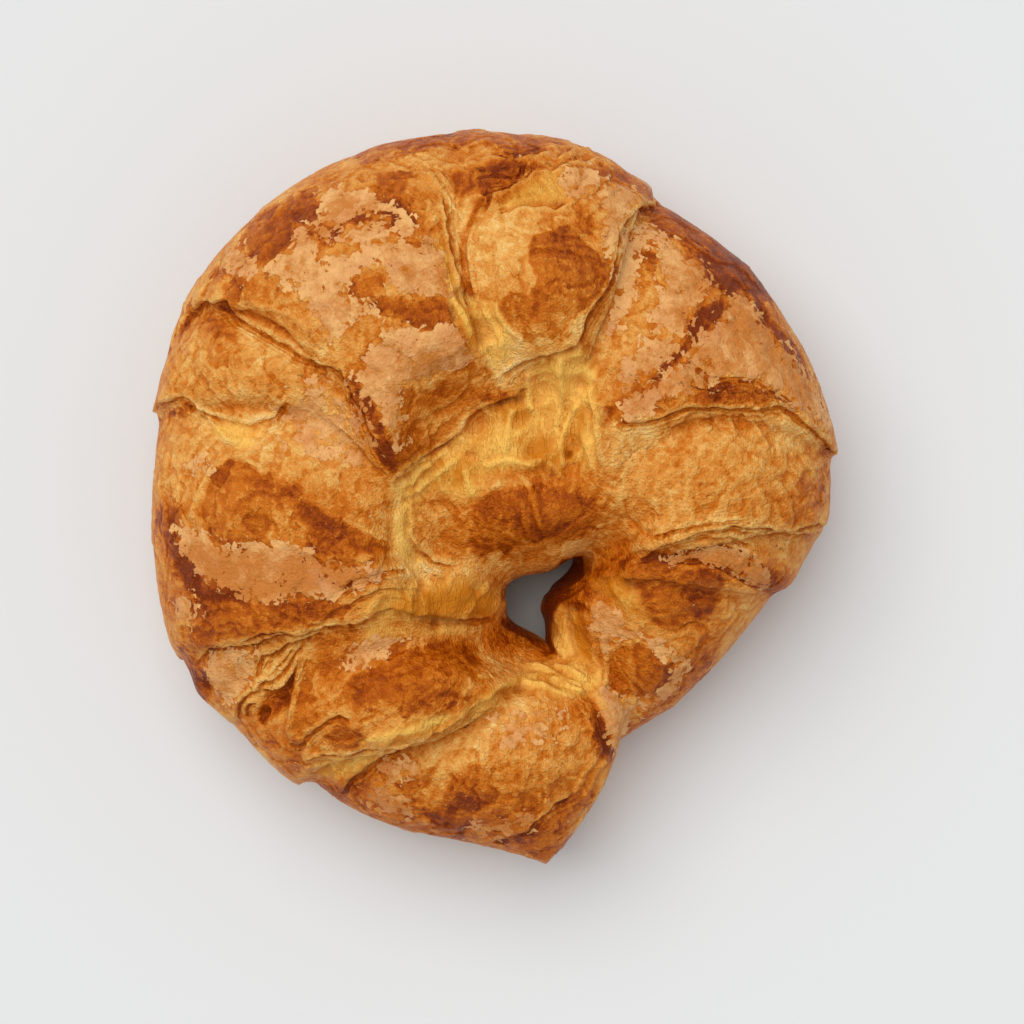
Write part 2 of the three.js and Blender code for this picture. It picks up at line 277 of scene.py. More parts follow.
# Thin raised strands and folds: height and half width in mm, points in the photograph's pixels.
RIDGES = {
    "seam_thread": (0.45, 0.3, [(427, 170), (440, 186), (452, 204), (464, 223)]),
    "seam_band": (0.5, 0.6, [(478, 296), (488, 318), (500, 340), (506, 366)]),
    "seam_right": (0.5, 0.4, [(497, 182), (480, 208), (470, 232), (468, 256), (472, 282), (482, 306)]),
    "seam_left_a": (0.4, 0.35, [(442, 192), (445, 226), (451, 261), (462, 288), (473, 312)]),
    "seam_left_b": (0.4, 0.4, [(435, 250), (445, 276), (458, 306), (473, 339)]),
    "seam_middle": (0.4, 0.35, [(456, 246), (460, 270), (468, 292), (478, 314)]),
    "seam_groove": (-0.7, 0.7, [(489, 186), (474, 214), (464, 239), (463, 262), (468, 290), (476, 314)]),
    "dome_pleat_a": (0.4, 0.4, [(740, 408), (752, 422), (760, 436), (770, 450)]),
    "dome_pleat_b": (0.4, 0.4, [(754, 408), (764, 418), (774, 428)]),
    "dome_pleat_c": (0.35, 0.4, [(706, 408), (708, 420), (710, 434)]),
    "dome_pleat_d": (0.35, 0.4, [(726, 410), (731, 422), (736, 438)]),
    "dome_fold": (0.4, 0.6, [(494, 300), (500, 316), (512, 331), (526, 342)]),
    "flap_fold": (0.7, 0.8, [(195, 402), (206, 414), (217, 429), (229, 440), (242, 446)]),
    "strand_a": (0.7, 0.6, [(528, 372), (530, 390), (528, 402), (534, 412)]),
    "strand_b": (0.8, 0.6, [(562, 356), (559, 374), (563, 392), (560, 410), (556, 430)]),
    "strand_c": (0.7, 0.5, [(578, 402), (568, 424), (561, 446), (564, 470)]),
    "strand_d": (0.8, 0.6, [(586, 384), (594, 404), (598, 424), (601, 446), (604, 468)]),
    "strand_e": (0.9, 0.7, [(512, 406), (508, 430), (505, 456)]),
    "strand_f": (0.35, 0.4, [(540, 452), (552, 466), (566, 480)]),
    "strand_g": (0.4, 0.5, [(464, 468), (470, 485), (476, 498)]),
    "strand_h": (0.7, 0.6, [(520, 472), (530, 490), (538, 510), (544, 526)]),
    "strand_i": (0.6, 0.5, [(402, 490), (424, 470), (440, 456), (452, 448)]),
    "strand_l": (0.6, 0.5, [(414, 494), (434, 476), (458, 458)]),
    "strand_m": (0.5, 0.5, [(398, 478), (416, 464), (436, 456)]),
    "strand_j": (0.7, 0.9, [(480, 466), (505, 460), (530, 463), (548, 458)]),
    "strand_k": (0.35, 0.5, [(476, 498), (488, 492), (502, 480)]),
    "upright_flake": (1.3, 0.7, [(300, 652), (298, 680), (294, 705), (291, 728), (294, 742)]),
    "lip_fold": (0.6, 1.4, [(362, 740), (390, 731), (420, 726), (446, 717), (470, 704)]),
    "tongue": (0.8, 0.9, [(561, 604), (557, 616), (557, 632), (560, 648), (567, 662)]),
    "tongue_groove": (-0.7, 0.6, [(568, 602), (568, 620), (570, 638), (575, 656)]),
    "horn_band": (0.6, 1.1, [(584, 604), (590, 624), (596, 646), (600, 668), (598, 688)]),
    "horn_fold": (0.6, 0.5, [(600, 634), (606, 652), (607, 668), (604, 682), (597, 694)]),
    "joint_crease": (-1.2, 1.0, [(584, 688), (594, 704), (600, 722), (605, 740), (612, 758)]),
    "joint_knot_a": (0.7, 0.4, [(552, 664), (566, 668), (578, 676), (590, 680)]),
    "joint_knot_b": (0.7, 0.4, [(548, 676), (562, 680), (574, 688), (586, 690)]),
    "joint_thread_a": (0.5, 0.4, [(588, 698), (596, 714), (602, 730), (606, 748)]),
    "joint_thread_b": (0.4, 0.4, [(578, 700), (586, 716), (594, 734), (600, 750)]),
    "pleat_a": (0.6, 0.5, [(606, 758), (598, 768), (590, 782), (582, 800)]),
    "pleat_b": (0.6, 0.5, [(612, 764), (604, 776), (597, 790), (588, 806)]),
    "pleat_c": (0.5, 0.5, [(598, 754), (590, 764), (580, 778), (572, 794)]),
    "joint_fold_a": (0.6, 0.35, [(530, 664), (548, 670), (565, 680), (585, 684)]),
    "joint_fold_b": (0.6, 0.35, [(520, 678), (540, 684), (560, 692), (578, 698)]),
    "joint_fold_c": (0.5, 0.6, [(585, 694), (592, 715), (598, 735), (604, 756)]),
    "shoulder_fold": (0.35, 0.5, [(275, 541), (300, 548), (322, 556), (350, 559), (386, 556)]),
    "wrap_thread": (0.4, 0.5, [(598, 398), (600, 430), (602, 466)]),
    "blister_rim": (0.7, 0.7, [
        (190, 524), (196, 505), (203, 484), (214, 467), (230, 456), (246, 458), (260, 468), (270, 484)]),
    "crown_fold": (0.3, 0.5, [(243, 296), (262, 306), (290, 314), (312, 330), (326, 350)]),
}

# Domes and dents: height in mm, centre and half sizes in the photograph's pixels, turn in degrees.
DOMES = {
    "blister": (1.1, (238, 507), (38, 46), 0),
    "right_crown": (1.6, (548, 286), (62, 66), 0),
    "knob": (1.2, (528, 520), (66, 34), -6),
    "left_hollow": (-0.7, (330, 425), (48, 40), 45),
    "swirl": (0.7, (442, 520), (34, 40), 0),
    "grey_hollow": (-2.4, (481, 425), (26, 16), -40),
    "small_hollow": (-1.4, (471, 457), (10, 8), 0),
    "pit": (-1.2, (567, 455), (6, 6), 0),
    "pit_upper": (-1.0, (522, 402), (9, 7), 0),
    "cell_left": (-1.6, (542, 380), (17, 20), 0),
    "cell_right": (-1.5, (577, 388), (15, 17), 0),
    "small_blister": (0.6, (398, 576), (17, 11), 0),
    "leaf_hollow": (-2.0, (276, 704), (20, 15), -30),
    "leaf_hole": (-2.2, (262, 716), (6, 10), 0),
    "outline_hollow": (-2.4, (206, 688), (8, 14), -30),
    "hole_wall": (-3.2, (570, 580), (16, 30), 40),
    "shoulder_hollow": (-0.8, (245, 432), (40, 12), 8),
    "wrap_knob": (0.8, (420, 682), (62, 34), -18),
    "horn_knob": (0.8, (540, 752), (56, 44), -20),
    "right_horn_upper": (0.8, (676, 592), (52, 34), 10),
    "right_horn_lower": (0.8, (640, 668), (34, 30), 20),
    "saddle": (-0.7, (440, 455), (50, 22), -50),
}

# Parts of the outline that are drawn out or in: where each is in the photograph's pixels, how many pixels
# around it are taken along, and how far in mm.
PULLS = {
    "tip": ((545, 858), 9, (0.5, -2.2, 0)),
    "hole_knob": ((496, 604), 9, (1.8, 0, 0)),
    "right_horn": ((672, 704), 44, (0.8, -0.8, 0)),
    "right_edge": ((752, 268), 34, (0.7, 0.7, 0)),
    "horn_bottom": ((480, 848), 30, (0, -0.6, 0)),
    "top": ((515, 134), 30, (0, -1.0, 0)),
    "left_bottom": ((330, 800), 26, (-0.4, -0.6, 0)),
    "left_foot": ((196, 690), 22, (-0.7, -0.4, 0)),
    "right_foot": ((792, 582), 24, (0.9, -0.3, 0)),
    "flap_corner": ((153, 416), 8, (-1.3, 0, 0)),
    "horn_end": ((565, 850), 8, (0.8, -0.6, 0)),
    "right_flake": ((781, 594), 9, (0.6, -0.5, 0)),
    "top_right": ((628, 174), 14, (-0.5, -0.6, 0)),
    "left_low": ((179, 660), 12, (0.8, 0.3, 0)),
}

# The foot of the hole's right wall, which reaches into the hole: points in the photograph's pixels, how many
# pixels around them it takes along, between which heights in mm, and how far in mm.
WALL = [(588, 556), (576, 572), (564, 592), (559, 612), (563, 632)]
WALL_REACH = (22, 8)
WALL_HEIGHTS = (26, 10)
WALL_PUSH = (-2.2, 0, 0)

# Browned places, and places of painted shade in hollows, under leaf edges and on the hole's walls: softness
# of the edge in pixels, how dark, corners in the photograph's pixels.
BROWN = {
    "crown_left": (9, 0.75, [
        (241, 240), (248, 226), (262, 212), (284, 204), (300, 191), (318, 190), (319, 212), (310, 220),
        (296, 226), (293, 240), (285, 250), (262, 263), (250, 258)]),
    "crown_flecks": (6, 0.6, [
        (310, 232), (322, 246), (334, 249), (344, 228), (328, 226), (330, 236), (322, 240)]),
    "crown_flecks_right": (6, 0.6, [(342, 218), (362, 213), (371, 219), (360, 225), (346, 223)]),
    "crown_middle": (8, 0.3, [
        (343, 292), (352, 280), (372, 275), (380, 270), (384, 282), (386, 297), (372, 300), (352, 298)]),
    "crown_low": (8, 0.65, [
        (360, 308), (372, 300), (400, 298), (440, 299), (458, 305), (455, 318), (430, 330), (405, 322),
        (385, 316)]),
    "crown_top": (14, 0.45, [
        (376, 178), (390, 170), (408, 176), (406, 200), (412, 224), (402, 228), (390, 220), (382, 200)]),
    "crown_lip": (14, 0.2, [
        (240, 290), (262, 285), (290, 292), (312, 312), (330, 345), (312, 354), (290, 342), (262, 326),
        (240, 312)]),
    "crown_lip_end": (9, 0.75, [(224, 318), (218, 304), (228, 286), (240, 272), (246, 282), (238, 312)]),
    # This and the next two: painted shade on the hole's walls and at their foot, over darker crust.
    "hole_wall": (4, 1.1, [
        (582, 557), (562, 560), (551, 578), (544, 597), (541, 614), (544, 634), (550, 654), (556, 654),
        (551, 634), (552, 618), (558, 604), (565, 594), (573, 586), (583, 578)]),
    "shade_at_hole_foot": (4, 0.9, [
        (500, 616), (514, 622), (532, 632), (550, 650), (552, 660), (538, 648), (518, 634), (502, 626)]),
    "wall_orange": (8, 0.35, [
        (549, 606), (557, 604), (573, 586), (584, 580), (594, 592), (590, 612), (577, 612), (566, 606),
        (556, 612)]),
    "crown_edge": (12, 0.6, [
        (180, 338), (186, 316), (200, 290), (216, 270), (226, 268), (206, 304), (192, 326)]),
    "flap_edge": (8, 0.65, [
        (343, 378), (352, 378), (366, 392), (376, 410), (394, 440), (382, 440), (362, 412), (352, 396)]),
    "flap_tip": (8, 1.0, [(374, 438), (392, 438), (402, 456), (402, 468), (392, 476), (380, 466)]),
    "flap_inner": (10, 0.4, [
        (398, 390), (432, 388), (470, 362), (484, 372), (508, 396), (482, 406), (464, 422), (456, 438),
        (424, 454), (402, 464), (396, 440), (404, 414)]),
    "seam": (10, 0.45, [(452, 338), (466, 334), (474, 346), (466, 354), (454, 354)]),
    "right_crown": (4, 0.6, [
        (527, 246), (534, 236), (557, 229), (566, 224), (582, 238), (594, 250), (605, 264), (605, 286),
        (594, 302), (576, 314), (556, 318), (540, 312), (530, 296), (536, 280), (528, 262)]),
    "right_crown_upper": (8, 0.55, [(577, 205), (588, 203), (597, 224), (590, 238), (580, 228)]),
    "crinkle": (9, 0.85, [
        (477, 178), (484, 163), (510, 159), (528, 168), (520, 177), (497, 181), (482, 188)]),
    "crinkle_top": (8, 0.6, [(503, 146), (530, 141), (541, 147), (535, 154), (507, 154)]),
    "crinkle_side": (10, 0.5, [(455, 175), (470, 168), (474, 190), (462, 206), (452, 196)]),
    "top_edge": (12, 0.5, [
        (352, 152), (390, 142), (440, 132), (500, 132), (560, 138), (540, 146), (470, 142), (400, 150),
        (360, 160)]),
    # Painted shade under the right crown's leaf edge.
    "right_crown_side": (10, 0.5, [
        (578, 336), (590, 310), (606, 288), (614, 262), (620, 272), (612, 294), (594, 328), (582, 350)]),
    "right_edge": (10, 0.75, [
        (640, 210), (662, 208), (694, 216), (738, 240), (774, 276), (794, 312), (758, 297), (740, 290),
        (730, 298), (712, 282), (695, 258), (668, 238), (642, 222)]),
    "right_top_edge": (9, 0.6, [
        (596, 160), (618, 170), (642, 182), (662, 198), (640, 196), (616, 182), (600, 172)]),
    "diagonal": (6, 0.75, [
        (724, 298), (724, 314), (705, 333), (690, 348), (676, 362), (655, 383), (650, 380), (664, 364),
        (682, 342), (690, 322), (702, 308)]),
    "right_fleck": (6, 0.55, [(641, 256), (650, 248), (658, 258), (656, 271), (646, 272)]),
    "lip_band": (8, 0.8, [
        (690, 400), (718, 386), (742, 379), (768, 388), (782, 400), (770, 405), (740, 405), (706, 404)]),
    "lip_start": (8, 0.45, [
        (598, 420), (602, 404), (620, 406), (632, 398), (636, 412), (626, 421), (606, 424)]),
    "right_streak": (8, 0.8, [
        (746, 284), (760, 298), (776, 322), (796, 348), (812, 380), (804, 376), (784, 350), (764, 322)]),
    "blister": (4, 0.5, [
        (202, 512), (206, 488), (214, 472), (228, 461), (244, 462), (258, 471), (268, 486), (272, 506),
        (271, 524), (263, 540), (250, 549), (236, 552), (220, 544), (208, 530)]),
    "blister_low": (9, 0.25, [
        (202, 512), (222, 508), (240, 514), (262, 510), (271, 524), (263, 540), (250, 549), (236, 552),
        (220, 544), (208, 530)]),
    "shoulder": (14, 0.65, [
        (268, 476), (282, 480), (298, 492), (320, 513), (350, 526), (382, 540), (390, 549), (370, 558),
        (335, 558), (314, 545), (305, 522), (280, 504)]),
    "left_edge": (10, 0.7, [
        (158, 512), (172, 500), (180, 508), (174, 530), (190, 562), (206, 588), (240, 588), (242, 600),
        (208, 604), (188, 592), (168, 562), (158, 536)]),
    "left_band": (10, 0.7, [
        (190, 602), (250, 601), (290, 600), (350, 608), (344, 616), (300, 624), (262, 634), (214, 645),
        (196, 652)]),
    "left_bottom": (10, 0.6, [(180, 650), (192, 660), (200, 690), (214, 712), (198, 700), (184, 676)]),
    "flap_shade": (8, 0.7, [(168, 414), (186, 403), (196, 408), (184, 416)]),
    "knob": (12, 0.72, [
        (474, 506), (486, 492), (520, 484), (560, 492), (600, 498), (606, 518), (586, 534), (560, 542),
        (530, 538), (505, 552), (480, 556), (470, 540), (480, 524)]),
    "wrap_end": (12, 0.28, [
        (780, 504), (796, 488), (820, 478), (826, 500), (816, 522), (796, 530), (784, 520)]),
    "right_horn": (12, 0.65, [
        (622, 564), (640, 556), (664, 558), (690, 571), (708, 566), (722, 576), (718, 602), (704, 617),
        (670, 626), (648, 622), (632, 596)]),
    "right_horn_dark": (12, 0.9, [(684, 596), (702, 584), (718, 592), (712, 612), (694, 616)]),
    "right_horn_low": (8, 0.75, [
        (612, 660), (622, 642), (644, 643), (660, 661), (675, 663), (674, 676), (656, 694), (620, 696),
        (608, 686)]),
    "right_horn_edge": (12, 0.45, [
        (628, 726), (648, 712), (680, 690), (706, 664), (700, 676), (672, 704), (640, 730)]),
    "left_wrap": (14, 0.6, [
        (345, 692), (354, 675), (378, 668), (392, 654), (440, 641), (474, 640), (482, 660), (464, 694),
        (440, 710), (408, 713), (390, 702), (358, 706)]),
    "wrap_low": (10, 0.5, [(324, 738), (340, 722), (360, 736), (356, 749), (332, 748)]),
    "horn_left": (7, 0.55, [(394, 786), (408, 775), (440, 764), (434, 782), (412, 798), (400, 794)]),
    "horn_middle": (9, 0.5, [
        (450, 776), (466, 766), (486, 770), (500, 792), (488, 808), (452, 810), (444, 804)]),
    "horn_dark": (7, 0.9, [(446, 802), (462, 799), (484, 800), (487, 808), (466, 812), (450, 812)]),
    "horn_low": (10, 0.6, [(420, 808), (450, 816), (470, 824), (462, 836), (430, 824)]),
    "horn_joint": (9, 0.75, [(588, 702), (600, 714), (612, 736), (610, 756), (600, 758), (592, 726)]),
    "tip": (12, 0.35, [(520, 846), (548, 818), (580, 790), (594, 796), (568, 838), (547, 866), (532, 856)]),
    "tip_shade": (8, 0.75, [(500, 842), (526, 834), (548, 818), (544, 830), (522, 842)]),
    # Painted shade in the leaf's hole.
    "shade_in_leaf_hole": (4, 1.1, [(258, 708), (266, 705), (270, 719), (265, 727), (259, 721)]),
    # Painted shade in the hollow under the fan's leaves.
    "fan_hollow_shade": (6, 0.5, [
        (263, 702), (272, 696), (286, 690), (293, 676), (296, 672), (294, 690), (290, 704), (280, 714),
        (270, 722), (262, 724), (258, 712)]),
    "fan_low": (12, 0.45, [(268, 740), (298, 742), (300, 768), (284, 772), (270, 758)]),
    # Painted shade in the hollow of the outline.
    "shade_in_outline_hollow": (4, 1.0, [(202, 672), (208, 670), (212, 690), (204, 688)]),
    "seam_groove": (8, 0.1, [
        (484, 190), (494, 184), (474, 220), (468, 250), (474, 290), (482, 318), (472, 312), (460, 270),
        (460, 240)]),
    "right_crown_low": (8, 0.42, [
        (498, 310), (518, 292), (536, 300), (556, 318), (578, 314), (572, 332), (558, 340), (528, 340),
        (506, 324)]),
}

# Pale skin that has lifted or cracked: softness of the edge in pixels, corners in its pixels.
SKIN = {
    "crown": (7, [
        (256, 268), (272, 258), (290, 250), (295, 236), (303, 233), (314, 236), (320, 252), (324, 262),
        (327, 251), (342, 250), (356, 254), (357, 246), (340, 245), (334, 238), (344, 230), (354, 224),
        (372, 220), (386, 222), (392, 230), (391, 241), (404, 243), (418, 240), (428, 232), (436, 246),
        (446, 268), (452, 296), (440, 298), (420, 296), (402, 292), (388, 286), (382, 272), (376, 264),
        (362, 268), (360, 276), (346, 284), (342, 294), (352, 297), (366, 299), (378, 314), (356, 326),
        (344, 338), (330, 346), (318, 334), (306, 312), (302, 296), (290, 288), (276, 280), (262, 274)]),
    "crown_corner": (7, [
        (318, 190), (336, 184), (362, 190), (392, 204), (396, 214), (376, 212), (364, 213), (350, 220),
        (340, 225), (330, 222), (322, 214)]),
    "crown_notch": (7, [(396, 222), (406, 218), (414, 232), (408, 240), (398, 238)]),
    "crown_flake": (5, [(314, 226), (322, 220), (330, 228), (332, 246), (322, 240)]),
    "crown_flake_left": (5, [(292, 226), (304, 222), (308, 230), (298, 236)]),
    "crown_side": (10, [(222, 262), (240, 248), (252, 258), (256, 272), (244, 280), (236, 270)]),
    "crown_low": (7, [
        (366, 352), (382, 344), (378, 334), (392, 322), (420, 330), (446, 326), (460, 326), (466, 340),
        (472, 358), (446, 372), (424, 384), (404, 388), (398, 400), (404, 414), (400, 430), (408, 442),
        (398, 450), (386, 428), (378, 408), (364, 390), (354, 376), (362, 366)]),
    "shoulder": (8, [
        (175, 527), (195, 526), (214, 544), (236, 550), (259, 541), (286, 548), (314, 557), (350, 566),
        (386, 571), (360, 584), (345, 592), (309, 600), (264, 600), (228, 592), (206, 580), (190, 560)]),
    "fan_leaf": (7, [
        (206, 664), (216, 652), (240, 650), (254, 654), (250, 676), (244, 690), (236, 698), (230, 704),
        (220, 700), (208, 684)]),
    "hollow_pale": (20, [
        (288, 410), (300, 392), (320, 390), (345, 400), (362, 430), (370, 450), (360, 460), (345, 455),
        (325, 452), (305, 450), (292, 436)]),
    "pale_spot": (8, [(184, 462), (192, 454), (204, 456), (206, 468), (198, 476), (186, 474)]),
    "left_side": (10, [(172, 602), (192, 598), (196, 614), (188, 622), (176, 616)]),
    "lifted_flake": (7, [
        (601, 190), (615, 184), (641, 190), (638, 206), (622, 224), (616, 252), (606, 256), (600, 240),
        (600, 212)]),
    "right_crown_top": (12, [(560, 172), (590, 166), (600, 180), (590, 196), (566, 194)]),
    "right_side": (8, [
        (620, 250), (630, 236), (642, 228), (648, 240), (640, 262), (636, 290), (624, 322), (610, 334),
        (606, 318), (618, 290)]),
    "shoulder_upper": (7, [
        (640, 224), (650, 226), (665, 236), (680, 246), (690, 262), (700, 262), (708, 272), (714, 284),
        (706, 292), (716, 300), (704, 302), (694, 312), (690, 326), (684, 338), (676, 334), (664, 332),
        (652, 334), (646, 330), (650, 316), (656, 304), (656, 296), (662, 284), (660, 270), (656, 250),
        (650, 238)]),
    "shoulder_middle": (7, [
        (640, 336), (652, 332), (664, 336), (676, 340), (684, 344), (678, 356), (664, 366), (652, 380),
        (640, 384), (630, 392), (616, 384), (612, 372), (628, 356)]),
    "shoulder_low": (7, [
        (724, 300), (734, 296), (746, 292), (754, 304), (762, 318), (776, 334), (790, 352), (806, 374),
        (820, 396), (834, 428), (820, 424), (800, 410), (782, 396), (764, 384), (748, 378), (730, 378),
        (712, 380), (704, 366), (688, 358), (692, 344), (706, 334), (720, 324), (722, 312)]),
    "shoulder_lip": (7, [
        (620, 410), (622, 394), (634, 386), (642, 392), (660, 378), (680, 368), (690, 362), (704, 372),
        (710, 382), (690, 392), (664, 400), (650, 412), (630, 418)]),
    "flake": (4, [
        (662, 558), (700, 547), (741, 547), (764, 564), (772, 580), (766, 591), (748, 583), (722, 569),
        (700, 562), (670, 565)]),
    "horn_inner": (5, [
        (590, 606), (600, 598), (612, 604), (624, 622), (644, 634), (640, 642), (616, 640), (606, 652),
        (598, 640), (590, 624)]),
    "horn_round": (5, [
        (644, 638), (664, 642), (682, 652), (690, 668), (676, 690), (660, 702), (652, 694), (668, 684),
        (676, 668), (668, 660), (652, 654)]),
    "horn_flake": (7, [
        (604, 692), (620, 702), (640, 702), (652, 696), (658, 694), (640, 712), (632, 718), (624, 730),
        (614, 746), (606, 722)]),
    "wrap_upper": (9, [(350, 652), (368, 636), (396, 632), (412, 640), (392, 652), (366, 670), (350, 674)]),
    "horn_left": (8, [(380, 764), (400, 755), (418, 766), (422, 776), (414, 785), (400, 778), (386, 786)]),
    "horn_low": (8, [(358, 792), (384, 786), (404, 798), (416, 808), (408, 816), (376, 808)]),
    "horn_rim": (7, [(466, 826), (500, 822), (520, 814), (542, 811), (526, 827), (498, 837), (470, 838)]),
    "horn_top": (15, [(500, 716), (530, 706), (556, 716), (548, 740), (520, 736), (502, 746)]),
}

# Stretched, yellow dough: softness of the edge in pixels, corners in its pixels.
DOUGH = {
    "centre": (14, [
        (512, 398), (530, 380), (540, 358), (578, 350), (600, 372), (600, 440), (590, 470), (530, 468),
        (490, 478), (468, 500), (440, 490), (412, 500), (412, 548), (432, 560), (410, 570), (394, 548),
        (394, 490), (408, 468), (446, 450), (464, 432), (484, 410)]),
    "seam": (10, [(464, 294), (478, 298), (500, 350), (500, 372), (478, 350)]),
    "seam_orange": (8, [
        (430, 236), (440, 236), (452, 270), (466, 300), (478, 330), (484, 356), (470, 346), (452, 312),
        (440, 278)]),
    "dome_side": (10, [(480, 300), (492, 298), (510, 330), (512, 364), (498, 364), (488, 332)]),
    "left_gap": (14, [(360, 606), (400, 586), (450, 574), (496, 588), (500, 612), (450, 622), (384, 620)]),
    "joint": (14, [
        (536, 662), (568, 656), (602, 672), (600, 694), (562, 696), (516, 690), (482, 716), (446, 728),
        (476, 700), (510, 676)]),
    "tongue": (5, [
        (560, 603), (553, 618), (551, 632), (555, 648), (563, 660), (572, 668), (575, 655), (569, 640),
        (567, 622), (568, 608)]),
    "horn_band": (7, [
        (570, 608), (577, 612), (585, 630), (593, 650), (598, 668), (590, 670), (578, 660), (572, 640),
        (569, 622)]),
    "knot": (7, [(552, 664), (576, 660), (592, 672), (596, 688), (580, 698), (560, 694), (546, 682)]),
    "horn_orange": (14, [(596, 582), (620, 574), (634, 592), (652, 622), (630, 616), (606, 598)]),
    # Paler dough with a painted highlight.
    "left_hollow": (10, [(206, 422), (236, 424), (268, 424), (262, 440), (238, 448), (218, 436)]),
    "lip_fold": (9, [(362, 742), (390, 728), (440, 716), (462, 712), (440, 730), (404, 742), (380, 746)]),
    "leaf_end": (8, [(312, 768), (330, 759), (376, 752), (378, 760), (350, 778), (324, 778)]),
    "top_flakes": (10, [(500, 206), (530, 180), (556, 170), (562, 190), (566, 200), (540, 205)]),
    "wrap_left": (12, [(372, 622), (410, 628), (470, 626), (440, 636), (396, 634), (366, 640)]),
}
